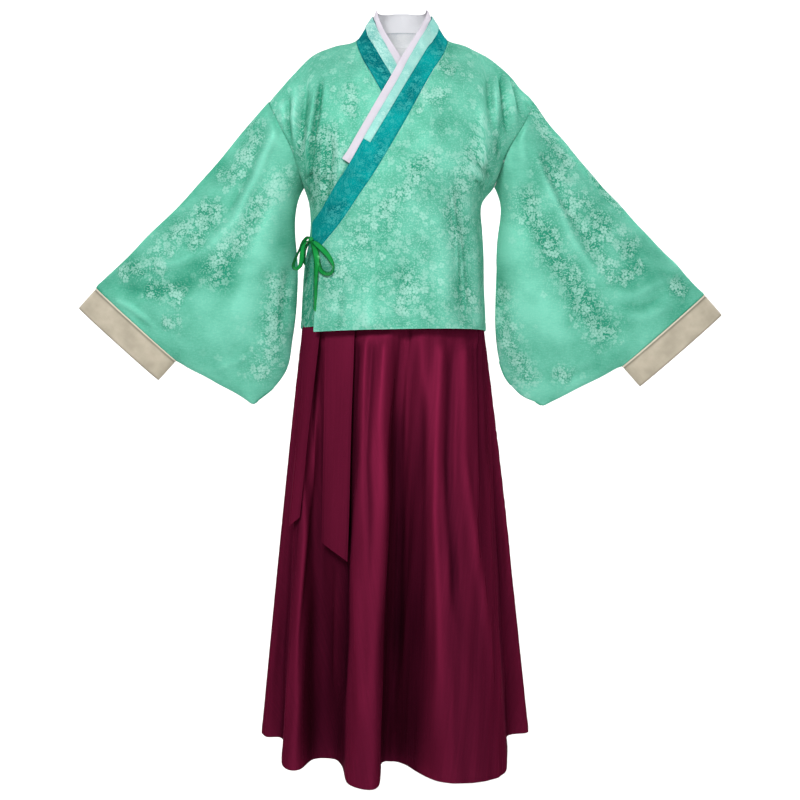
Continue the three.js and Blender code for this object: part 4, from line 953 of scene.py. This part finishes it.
def across(*edges, columns):
    """Flat points from each edge to the next, with so many columns for each stretch."""
    spans = [np.linspace(0, 1, count + 1)[None, :, None] for count in columns]
    grids = [a[:, None] * (1 - t) + b[:, None] * t for a, b, t in zip(edges, edges[1:], spans)]
    return np.concatenate([grid[:, :-1] for grid in grids[:-1]] + [grids[-1]], axis=1)


def on_collar(flat, place):
    """Points of the collar's outer face over flat points, on the body and over the upper front."""
    lift = wrap_lift(flat[..., 0], flat[..., 1]) * (place == "over")[:, None]
    behind = (place == "neck")[:, None, None]
    return np.where(behind, on_body(flat, "back"), on_body(flat, "front", lift))


# Teal satin jacquard: the jacket's figured satin in a deep green blue, with a fainter figure.
teal = satin_jacquard("teal_satin_jacquard", "0a9795", "005a60", "4ab5b0", 0.6, 0.5, size=0.7)

BAND_FOLDS = (
    (((-44, -292), (-62, -280), (-84, -272)), 4.5, -1.8, 0.2, 0.3),
    (((-40, -282), (-58, -270), (-76, -262)), 5, 1.2, 0.2, 0.3),
    (((-100, -330), (-124, -322), (-140, -330)), 7, -1.6, 0.2, 0.4),
    (((30, -90), (22, -110), (8, -126)), 7, -1.0, 0.3, 0.3),
)
BAND_SPRAYS = (
    (((30, -100), (0, -150)), 9), (((-30, -215), (-50, -250)), 9), (((60, -50), (70, -30)), 8),
    (((-90, -310), (-130, -350)), 12), (((-40, -60), (-20, -100)), 9),
)
sewn, fold, _, inner, place = collar_stations(OVER_END, UNDER_END)
to_point = smooth(UPRIGHT_FROM, OVER_END, OVER_END * np.linspace(1, 0, DOWN)**1.7)[:, None]
inner[:DOWN] = inner[:DOWN] * (1 - to_point) + np.array(BAND_POINT) * to_point
band_flat = across(sewn, inner, fold, columns=(10, 8))
x, z = band_flat[..., 0], band_flat[..., 1]
band_points = on_collar(band_flat, place)
_, _, from_seam, from_fold = from_edges(band_points)
rise = creases(x, z, BAND_FOLDS) * (place != "neck")[:, None]
rise += 0.6 * bell(from_seam - 4, 3) - 0.8 * bell(from_seam, 1.4) - 0.6 * bell(from_fold, 1.2)
# Painted light and shade from the band's folds; it is also painted darker all down the under front.
band = cloth("collar_band", raised(band_points, rise), teal, CLOTH,
             spray=np.maximum(0.8 * sprays_at(x, z, BAND_SPRAYS), 0.35),
             proud=painted_shading(2 * rise) - 1.1 * (place == "under")[:, None])
sewn_in(band, "collar_wide_band")

# ---------------------------------------------------------------- the collar's middle strip
# A narrow strip of pale aqua satin, folded and sewn on the wide band along its fold edge, with its
# ends cut square.
STRIP = 1.2
MIDDLE_STRIP_END = 256

# Aqua satin jacquard: the palest of the figured satins, plain down the upper front and flowered
# where it lies on the under front.
aqua = satin_jacquard("aqua_satin_jacquard", "a0cfc6", "57a69f", "c2e4dd", 0.7, 0.5, size=0.6)

_, fold, _, inner, place = collar_stations(MIDDLE_STRIP_END, STRIPS_END)
strip_points = on_collar(across(inner, fold, columns=(12,)), place)
strip_edges = from_edges(strip_points)
rise = 0.25 * np.sin(strip_edges[0] / 14) * np.sin(strip_edges[0] / 37) + SEAM + STRIP
for distance in strip_edges:
    rise -= 0.7 * bell(distance, 1.1) + 0.35 * bell(distance - 2.6, 0.6)
strip = cloth("collar_middle_strip_aqua", raised(strip_points, rise), aqua, STRIP,
              spray=np.where((place == "under")[:, None], 0.75, 0.12))
sewn_in(strip, "collar_middle_strip")

# ---------------------------------------------------------------- the collar's edge strip
# The innermost layer: a white woven strip tucked behind the band so that its free edge shows past
# the fold edge. Its lower end hangs free over the under front, cut square.
EDGE_STRIP_END = 305

# White plain weave: matt, with fine threads and a little lilac. Where it stands behind the neck it is
# painted whiter, as painted light in the shade of the collar.
white, tree, shader = finish_of("white_plain_weave")
cut = node(tree, "UVMap", {}, uv_map="cut")
cloud = node(tree, "TexNoise", {"Vector": cut, "Scale": 40.0, "Detail": 3.0})
outside = node(tree, "MixRGB", {"Fac": cloud, 1: linear("c2bcc6"), 2: linear("d2ccd6")})
inside = node(tree, "Attribute", {}, attribute_name="spray").outputs["Fac"]
colour = node(tree, "MixRGB", {"Fac": inside, 1: outside, 2: linear("fafaff")})
wire(shader, {"Base Color": colour, "Roughness": 0.75, "Normal": threads(tree, cut, 0.001, 0.35, 0.00012),
              "Specular IOR Level": 0.25})

_, fold, free, inner, place = collar_stations(EDGE_STRIP_END, STRIPS_END)
edge_points = on_collar(across(inner, fold, free, columns=(6, 10)), place)
from_low, _, from_inner, from_free = from_edges(edge_points)
rise = 0.2 * np.sin(from_low / 17) - CLOTH - SEAM - 0.4 * bell(from_free, 1.0)
rise += 5 * smooth(22, 0, from_low) * smooth(14, 22, from_inner) - 0.3 * bell(from_free - 2.4, 0.6)
# spray paints the strip whiter behind the neck, as painted light.
edge_strip = cloth("collar_edge_strip_white", raised(edge_points, rise), white, STRIP,
                   spray=smooth(0, 40, edge_points[..., 1]))
sewn_in(edge_strip, "collar_edge_strip")

# ---------------------------------------------------------------- the lining behind the neck
# A pale figured lining inside the back, hanging from the collar's inner edge. It shows in the V of
# the open neck.
LINING = 1.0
LINING_FOOT = -80
LINED_FROM, LINED_TO = 34, 146     # the turns behind the neck between which it is sewn

# Lining satin: pale grey with a faint woven figure, quite matt.
grey_lining = satin_jacquard("grey_figured_lining", "fafbfd", "bcc3cd", "fdfdfe", 0.8, 0.55, size=0.6)

lined = (turns > LINED_FROM) & (turns < LINED_TO)
beside_neck = (back_flat.shape[1] - len(turns)) // 2
shown = back_flat[:, beside_neck + len(turns) // 2, 1] > LINING_FOOT
panel = raised(back_points, -(CLOTH + SEAM))[shown][:, np.pad(lined, beside_neck)]
sewn, fold, _, middle = neck_lines(turns[lined])
inner = fold + unit(sewn - fold) * (middle[:, None] + SEAM)
upper = np.stack([on_body(sewn + (inner - sewn) * t, "back") for t in np.linspace(0.12, 1, 8)])
lining_points = np.concatenate([panel, raised(upper, -(CLOTH + SEAM))])
_, below_seam, _, _ = from_edges(lining_points)
# proud keeps the lining pale, and the line just under its seam is painted darker, as painted shade.
lining = cloth("lining_behind_neck", lining_points, grey_lining, LINING, spray=0.2,
               proud=0.6 + 1.6 * painted_shading(0, below_seam))
sewn_in(lining, "back_lining")

# ---------------------------------------------------------------- the tie
# Two green satin ribbons, one from the end of the collar band and one from the under front, tied in
# a half bow: two loops and two tails that hang from a small hard knot.
RIBBON = 0.7
RIBBON_WIDTH = 11
RIBBON_ROWS = 90
KNOT = (-162.5, -70, -374)
KNOT_HALF = 5
KNOT_ROUND, KNOT_DOWN = 48, 32     # faces round the knot and from its top to its foot
STRANDS = (
    # name, solid, points of the middle line, how far its face turns to the front at each point (0-1)
    ("tie_loop_left", "tie_loop_outer", (
        (-165, -69, -371), (-170, -67, -371), (-177, -65, -379), (-183, -64, -391), (-188.5, -64, -403),
        (-193.5, -64, -415), (-194, -65, -423), (-189, -66, -426), (-182.5, -67, -420), (-180, -67, -410),
        (-179, -67, -398), (-177, -68, -387), (-172, -69, -379), (-166, -70, -375)),
     (0.3, 0.35, 0.34, 0.13, 0.12, 0.2, 0.3, 0.4, 0.5, 0.62, 0.62, 0.5, 0.3, 0.2)),
    ("tie_loop_right", "tie_loop_inner", (
        (-159, -73, -377), (-150, -83, -385), (-138.5, -94, -396.5), (-129, -101, -408), (-122.5, -106, -420),
        (-120.5, -108, -429), (-123, -108, -436), (-129, -106, -439.5), (-138, -101, -437), (-145, -94, -430),
        (-150, -87, -418), (-153, -82, -406), (-157, -76, -392), (-161, -72, -380)),
     (0.6, 0.75, 0.72, 0.6, 0.4, 0.15, 0.25, 0.38, 0.42, 0.5, 0.8, 0.8, 0.7, 0.4)),
    ("tie_tail_long", "tie_tail_front", (
        (-160.5, -73, -378), (-155, -82, -392), (-152, -89, -405), (-150.5, -93, -419), (-151.5, -94, -432),
        (-152.5, -92, -452), (-153, -90, -470), (-153.5, -89, -486), (-154, -89, -503)),
     (0.5, 0.8, 0.9, 0.66, 0.46, 0.38, 0.34, 0.32, 0.3)),
    ("tie_tail_short", "tie_tail_side", (
        (-164, -68, -377), (-170, -62, -384), (-173.5, -59, -393), (-174.5, -58, -406), (-175, -58, -417)),
     (0.3, 0.18, 0.14, 0.13, 0.13)),
)

# Ribbon satin: a strong green with a soft gloss along the ribbon; its edges are painted darker, as
# painted shade at the ribbon's rims. The fine cross ribs are drawn at 0.8 mm, about three times the
# real ones.
green, tree, shader = finish_of("green_satin_ribbon")
cut = node(tree, "UVMap", {}, uv_map="cut")
cloud = node(tree, "TexNoise", {"Vector": cut, "Scale": 60.0, "Detail": 3.0})
plain = node(tree, "MixRGB", {"Fac": cloud, 1: linear("0a6c2c"), 2: linear("22a850")})
edge = node(tree, "Attribute", {}, attribute_name="spray").outputs["Fac"]
colour = node(tree, "MixRGB", {"Fac": edge, 1: plain, 2: linear("04341a")})
wire(shader, {"Base Color": colour, "Roughness": 0.28, "Normal": threads(tree, cut, 0.0008, 0.35, 0.0001),
              "Specular IOR Level": 0.6, "Specular Tint": linear("8fe0a8")})

for name, solid, line, shows in STRANDS:
    line = np.array(line, float)
    run = np.concatenate([[0], np.cumsum(lengths(line))])
    length = run[-1]
    at = np.linspace(0, length, RIBBON_ROWS)
    table = {"run": run, "x": line[:, 0], "y": line[:, 1], "z": line[:, 2]}
    middle = np.stack([read(table, "run", axis, at) for axis in "xyz"], -1)
    tangent = unit(np.gradient(middle, axis=0))
    edge_on = unit(np.array((0, 1, 0)) - tangent * tangent[:, [1]])
    angle = (np.interp(at, run, shows) * math.pi / 2)[:, None]
    wide = np.cos(angle) * edge_on + np.sin(angle) * np.cross(tangent, edge_on)
    # The ribbon is slightly cupped over its width, pinched near the knot, and its tails end slanting.
    t = np.linspace(-1, 1, 9)[None, :, None]
    cup = 0.9 * (1 - t**2) * np.cross(wide, tangent)[:, None]
    pinch = 1 - 0.7 * np.exp(-np.linalg.norm(middle - KNOT, axis=-1) / 9)
    points = middle[:, None] + t * RIBBON_WIDTH / 2 * wide[:, None] * pinch[:, None, None] + cup
    if "tail" in name:
        points += tangent[:, None] * t * 2.5 * smooth(length - 12, length, at)[:, None, None]
    # spray paints the ribbon's edges darker, as painted shade.
    strand = cloth(name, points, green, RIBBON, lambda row: row[4] + (0, 1, 0), spray=t[..., 0]**6)
    sewn_in(strand, solid)

# The knot: ribbon drawn tight round itself, so it is lumpy, with a wrap slanting across the middle.
round_, down = np.meshgrid(np.linspace(0, 2 * math.pi, KNOT_ROUND + 1)[:-1],
                           np.linspace(0, math.pi, KNOT_DOWN + 1))
wrap = bell(np.cos(down) + 0.35 * np.sin(down) * np.cos(round_), 0.3)
fold_lines = 0.07 * np.sin(7 * round_ + 3 * np.cos(down)) * (1 - wrap) * np.sin(down)
half = KNOT_HALF * (0.84 + 0.16 * wrap + fold_lines)
directions = np.stack([np.sin(down) * np.cos(round_), 0.85 * np.sin(down) * np.sin(round_), np.cos(down)], -1)
lump = (np.array(KNOT) + directions * half[..., None]).reshape(-1, 3)
i, k = np.meshgrid(np.arange(KNOT_DOWN), np.arange(KNOT_ROUND), indexing="ij")
a, b = i * KNOT_ROUND + k, i * KNOT_ROUND + (k + 1) % KNOT_ROUND
knot_faces = np.stack([a, a + KNOT_ROUND, b + KNOT_ROUND, b], -1).reshape(-1, 4)
knot = mesh_piece("tie_knot_tight", (lump / 1000).tolist(), knot_faces.tolist(), green)
knot_cut = knot.data.uv_layers.new(name="cut")
knot_cut.data.foreach_set("uv", (lump[knot_faces.ravel()][:, [0, 2]] / 1000).ravel())
# The points that meet at its top and its foot become one.
welded = bmesh.new()
welded.from_mesh(knot.data)
bmesh.ops.remove_doubles(welded, verts=welded.verts, dist=1e-6)
welded.to_mesh(knot.data)
welded.free()
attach(knot, "root")
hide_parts("tie_knot")

# ---------------------------------------------------------------- the skirt
# A full skirt of burgundy satin, pleated into a waistband and wrapped so that deep folds fall from
# the hip to the ankle. Only what hangs below the jacket shows.
HIP = {"z": -535, "x": -15.7, "half": 168.2, "depth": 105}
WAIST = {"z": -400, "x": -12, "half": 127, "depth": 84}
HEM = -1304
WAISTBAND = 38
SKIRT_CLOTH = 1.2
SKIRT_ROWS = 90
SKIRT_FRONT = {
    "x": (-270, -258, -230, -217, -211, -198, -177, -156, -124, -106, -90, -58, -38, -35, -17, 2, 18, 52, 80,
          96, 114, 136, 152, 168, 182, 192, 203, 240, 247),
    "y": (100, 72, 64, 0, -112, -148, -148, -84, -80, -122, -228, -266, -240, -115, -96, -112, -142, -209,
          -228, -230, -228, -220, -208, -188, -150, -40, 76, 100, 118),
    "turn": (0, 3, 6, 10, 15, 20, 26, 32.5, 42, 63, 70, 79, 88.5, 93, 96.5, 99.5, 103, 110, 118,
             126, 132, 141, 148, 154, 160, 167, 173, 177, 180),
    "out": (0, 0, -1, -1, 0, 1, 1, -2, -3, -4, 0, 3, 2, 0, -5, -5, 0, 3, 3,
            -1, 1, 1, -2, 1, 0, -1, -1, 0, 0),
}
SKIRT_BACK = {
    "x": (247, 236, 206, 186, 160, 126, 106, 74, 38, 20, -18, -56, -74, -106, -140, -160, -192, -226, -250,
          -270),
    "y": (118, 168, 186, 160, 214, 228, 178, 232, 240, 188, 242, 236, 186, 232, 222, 170, 196, 176, 140, 100),
    "turn": (180, 190, 199, 208, 217, 226, 236, 246, 256, 267, 278, 289, 299, 309, 319, 328, 337, 345, 353,
             360),
    "out": (0, 0, 0, -2, 1, 2, -3, 2, 3, -4, 2, 3, -3, 2, 1, -3, 1, 0, 0, 0),
}

# Burgundy satin: deep wine red, its smooth face glossy. From proud it is painted paler on the folds'
# ridges and towards the hip, as painted highlight and light, and deeper in the troughs, as painted
# shade; noise adds fine streaks along the warp. The threads are drawn at 1 mm, about eight times the
# real ones.
burgundy, tree, shader = finish_of("burgundy_satin")
cut = node(tree, "UVMap", {}, uv_map="cut")
drawn = node(tree, "VectorMath", {0: cut, 1: (240.0, 6.0, 0)}, operation="MULTIPLY")
streak = node(tree, "TexNoise", {"Vector": drawn, "Scale": 1.0, "Detail": 3.0})
# Painted light and shade: proud sets how pale the satin is painted, with the streaks on top.
proud = node(tree, "Attribute", {}, attribute_name="proud").outputs["Fac"]
bright = node(tree, "Math", {0: proud, 1: 0.34, 2: 0.34}, operation="MULTIPLY_ADD")
bright = node(tree, "Math", {0: streak, 1: 0.24, 2: bright}, operation="MULTIPLY_ADD", use_clamp=True)
colour = node(tree, "MixRGB", {"Fac": bright, 1: linear("2c0716"), 2: linear("721a38")})
weave = threads(tree, cut, 0.001, 0.3, 0.0001)
slub = node(tree, "TexNoise", {"Vector": cut, "Scale": 120.0, "Detail": 2.0})
crushed = node(tree, "Bump", {"Height": slub, "Strength": 0.12, "Distance": 0.0006, "Normal": weave})
wire(shader, {"Base Color": colour, "Roughness": 0.56, "Normal": crushed, "Specular IOR Level": 0.0,
              "Metallic": 0.34, "Specular Tint": linear("5c1430")})


def skirt_points(x, y, turn, out, z):
    """Points of the skirt for folds (their hem places, turns round the hip and stand-off) at heights."""
    angle = np.radians(turn)
    below = np.clip((HIP["z"] - z) / (HIP["z"] - HEM), 0, 1)**0.93
    above = smooth(HIP["z"], WAIST["z"], z)
    half, depth = (HIP[side] + (WAIST[side] - HIP[side]) * above for side in ("half", "depth"))
    hip_x = HIP["x"] + (WAIST["x"] - HIP["x"]) * above - half * np.cos(angle)
    hip_y = -(depth + out * (1 - above)) * np.sin(angle)
    return np.stack([hip_x + (x - hip_x) * below, hip_y + (y - hip_y) * below, z + 0 * hip_x], -1)


def skirt_axis(row):
    """A point of the skirt's upright axis, level with a row."""
    return -10, 0, row[0][2]


def skirt_panel(name, solid, folds, out, columns, lines):
    """Makes a panel from its folds, with the finer lines that fall along them. out is -1 in front."""
    numbers = dict(folds, number=np.arange(len(folds["x"])))
    at = np.linspace(0, len(folds["x"]) - 1, columns)
    x, y, turn, stand = (read(numbers, "number", column, at)[None] for column in ("x", "y", "turn", "out"))
    z = np.concatenate([np.linspace(WAIST["z"], HIP["z"], 14)[:-1], np.linspace(HIP["z"], HEM, SKIRT_ROWS)])
    points = skirt_points(x, y, turn, stand, z[:, None])
    points[:, [0, -1], 1] += out * SEAM / 2
    _, top, start, end = from_edges(points)
    x, z = points[..., 0], points[..., 2]
    rise = creases(x, z, lines) + ripple(2.2 * np.arange(1, columns + 1), z * 0.6, 0.8, 70)
    rise *= smooth(-500, -560, z) * smooth(0, 14, start) * smooth(0, 14, end)
    rise += turned_edge(top, 22, 0.4) + seam_dip(start, z) + seam_dip(end, z)
    points = raised(points, rise, skirt_axis)
    # How far each point stands proud of the skirt's mean curve, for painted light and shade: the satin
    # is painted brightest on the folds and deeper in the troughs.
    out_from_axis = np.hypot(points[..., 0] + 10, points[..., 1])
    window = np.hanning(columns // 6)
    counted = np.convolve(np.ones(columns), window, "same")
    mean = np.stack([np.convolve(row, window, "same") / counted for row in out_from_axis])
    proud = np.clip((out_from_axis - mean) / 14, -0.4, 0.7) + rise / 10
    # Painted light: the skirt is painted paler towards the hip, as the light from above falls on it.
    proud += 0.8 * smooth(-1150, -560, points[..., 2]) - 0.25
    piece = cloth(name, points, burgundy, SKIRT_CLOTH, skirt_axis, proud=proud)
    sewn_in(piece, solid)


FRONT_LINES = (
    # Troughs first, then ridges.
    (((-173, -550), (-181, -767), (-190, -905), (-200, -1040), (-209, -1173)), 6, -3.2, 0.05, 0.4),
    (((-158, -550), (-166, -767), (-164, -905), (-176, -1040), (-188, -1173)), 6, -3.0, 0.05, 0.4),
    (((-147, -550), (-148, -767), (-143, -905), (-142, -1040)), 6, -3.0, 0.05, 0.4),
    (((-100, -900), (-98, -980), (-100, -1080), (-102, -1200)), 6, -4.5, 0.3, 0.2),
    (((-80, -550), (-85, -767), (-96, -905), (-92, -1040)), 8, -4.0, 0.05, 0.5),
    (((-54, -550), (-62, -767), (-57, -905), (-58, -1040)), 7, -4.5, 0.05, 0.5),
    (((-6, -640), (-8, -767), (-3, -905), (-6, -1040), (-12, -1200)), 9, -6.5, 0.15, 0.3),
    (((32, -600), (34, -767), (33, -905), (32, -1040), (30, -1180)), 8, -4.0, 0.2, 0.3),
    (((90, -550), (82, -767), (86, -880), (93, -990), (106, -1120)), 8, -5.5, 0.1, 0.3),
    (((138, -550), (147, -767), (146, -905), (152, -1040)), 8, -4.5, 0.05, 0.4),
    (((-61, -550), (-71, -767), (-77, -905)), 6, 2.5, 0.05, 0.5),
    (((-74, -900), (-77, -960), (-74, -1070), (-66, -1220)), 8, 4.5, 0.3, 0.2),
    (((-30, -550), (-36, -708), (-31, -820), (-34, -932), (-40, -1040)), 9, 5.0, 0.05, 0.4),
    (((71, -550), (60, -767), (57, -850), (61, -940), (63, -1040), (63, -1180)), 8, 5.5, 0.05, 0.25),
    (((112, -550), (110, -766), (121, -860), (135, -965), (150, -1075), (162, -1190)), 8, 5.0, 0.05, 0.25),
    (((-150, -640), (-158, -767), (-168, -890), (-182, -1070), (-187, -1210)), 5, 4.0, 0.2, 0.2),
    (((-113, -930), (-115, -1000), (-118, -1100), (-118, -1200)), 6, 4.0, 0.3, 0.3),
    (((12, -550), (8, -700), (12, -820)), 8, 2.4, 0.05, 0.6),
    (((176, -640), (186, -800), (197, -950), (206, -1100)), 7, 3.5, 0.3, 0.3),
)
skirt_panel("skirt_front_panel", "skirt_front", SKIRT_FRONT, -1, 420, FRONT_LINES)

BACK_HEIGHTS = (-550, -767, -905)
BACK_LINES = (
    # x at those heights, half width, height
    ((150, 152, 160), 8, -4.0),
    ((112, 112, 124), 9, 3.6),
    ((88, 84, 92), 7, -4.6),
    ((40, 36, 48), 10, 4.0),
    ((14, 8, 18), 8, -5.0),
    ((-34, -40, -30), 10, 3.8),
    ((-62, -70, -64), 7, -4.4),
    ((-104, -112, -110), 9, 3.6),
    ((-134, -146, -150), 7, -4.0),
    ((-166, -180, -190), 7, -3.0),
)
back_lines = [(tuple(zip(places, BACK_HEIGHTS)), width, height, 0.05, 0.5)
              for places, width, height in BACK_LINES]
skirt_panel("skirt_back_panel", "skirt_back", SKIRT_BACK, 1, 270, back_lines)

# The waistband: a stiffened double band of the same satin with a sewn line near each edge.
turned = np.radians(np.linspace(0, 360, 181)[:-1])[None]
z = WAIST["z"] + SEAM + (WAISTBAND - SEAM) * np.linspace(0, 1, 24)[:, None]
ring = np.stack(np.broadcast_arrays(WAIST["x"] - WAIST["half"] * np.cos(turned),
                                    -WAIST["depth"] * np.sin(turned), z), -1)
low, top, _, _ = from_edges(ring)
ring = raised(ring, -0.5 * bell(low - 4, 1.1) - 0.5 * bell(top - 4, 1.1), loop_middle, looped=True)
waistband = cloth("waistband", ring, burgundy, SKIRT_CLOTH, loop_middle, looped=True)
sewn_in(waistband, "skirt_waistband")

# ---------------------------------------------------------------- the two sash tails
# The skirt's ties: two flat tails of the same satin that hang from the waistband at the wearer's
# right, each hemmed along both sides and cut slanting at the end.
SASH_CLEAR = (2.5, 4.5)       # how far each tail's face stands off the skirt at the waist and the hip
SASH_TOP = -404
SASH_CLOTH = 0.9
SASH_COLUMNS = 21
SASHES = (
    # name, solid, turns round the hip, three points across the cut end, flat size, area
    ("sash_front", "sash_front_tail", (46, 57, 67),
     ((-142, -92, -916), (-119, -117, -930), (-95, -142, -944)), (0.062, 0.53), 0.032),
    ("sash_side", "sash_side_tail", (18.5, 29, 41),
     ((-204, -48, -896), (-198, -83, -885), (-182, -101, -870)), (0.054, 0.485), 0.026),
)

for name, solid, turn, end, flat, area in SASHES:
    t = np.linspace(0, 2, SASH_COLUMNS)
    turn, *end = (read({"t": (0, 1, 2), "at": three}, "t", "at", t) for three in (turn, *zip(*end)))
    z = np.linspace(SASH_TOP, HIP["z"], 30)[:, None]
    clear = np.interp(-z, (-WAIST["z"], -HIP["z"]), SASH_CLEAR)[..., None]
    angle = np.radians(turn)
    outside = clear * np.stack([np.cos(angle), np.sin(angle), 0 * angle], -1)
    held = skirt_points(0, 0, turn[None], 0, z) - outside
    drop = np.linspace(0, 1, 90)[1:, None, None]
    points = np.concatenate([held, held[-1:] + (np.stack(end, -1) - held[-1:]) * drop])
    low, top, start, finish = from_edges(points)
    rise = 0.35 * (bell(start, 2.5) + bell(finish, 2.5)) + turned_edge(top, 6, 0.3)
    rise += 1.2 * np.sin(low / 60) * np.sin(start / 14) * smooth(140, 260, low)
    # Painted shade along the sewn line of each side hem; the rest of the tail takes an even tone.
    hems = bell(start - 4, 1.3) + bell(finish - 4, 1.3)
    sash = cloth(name, raised(points, rise, skirt_axis), burgundy, SASH_CLOTH, skirt_axis,
                 proud=0.8 - 0.8 * hems)
    sewn_in(sash, solid)
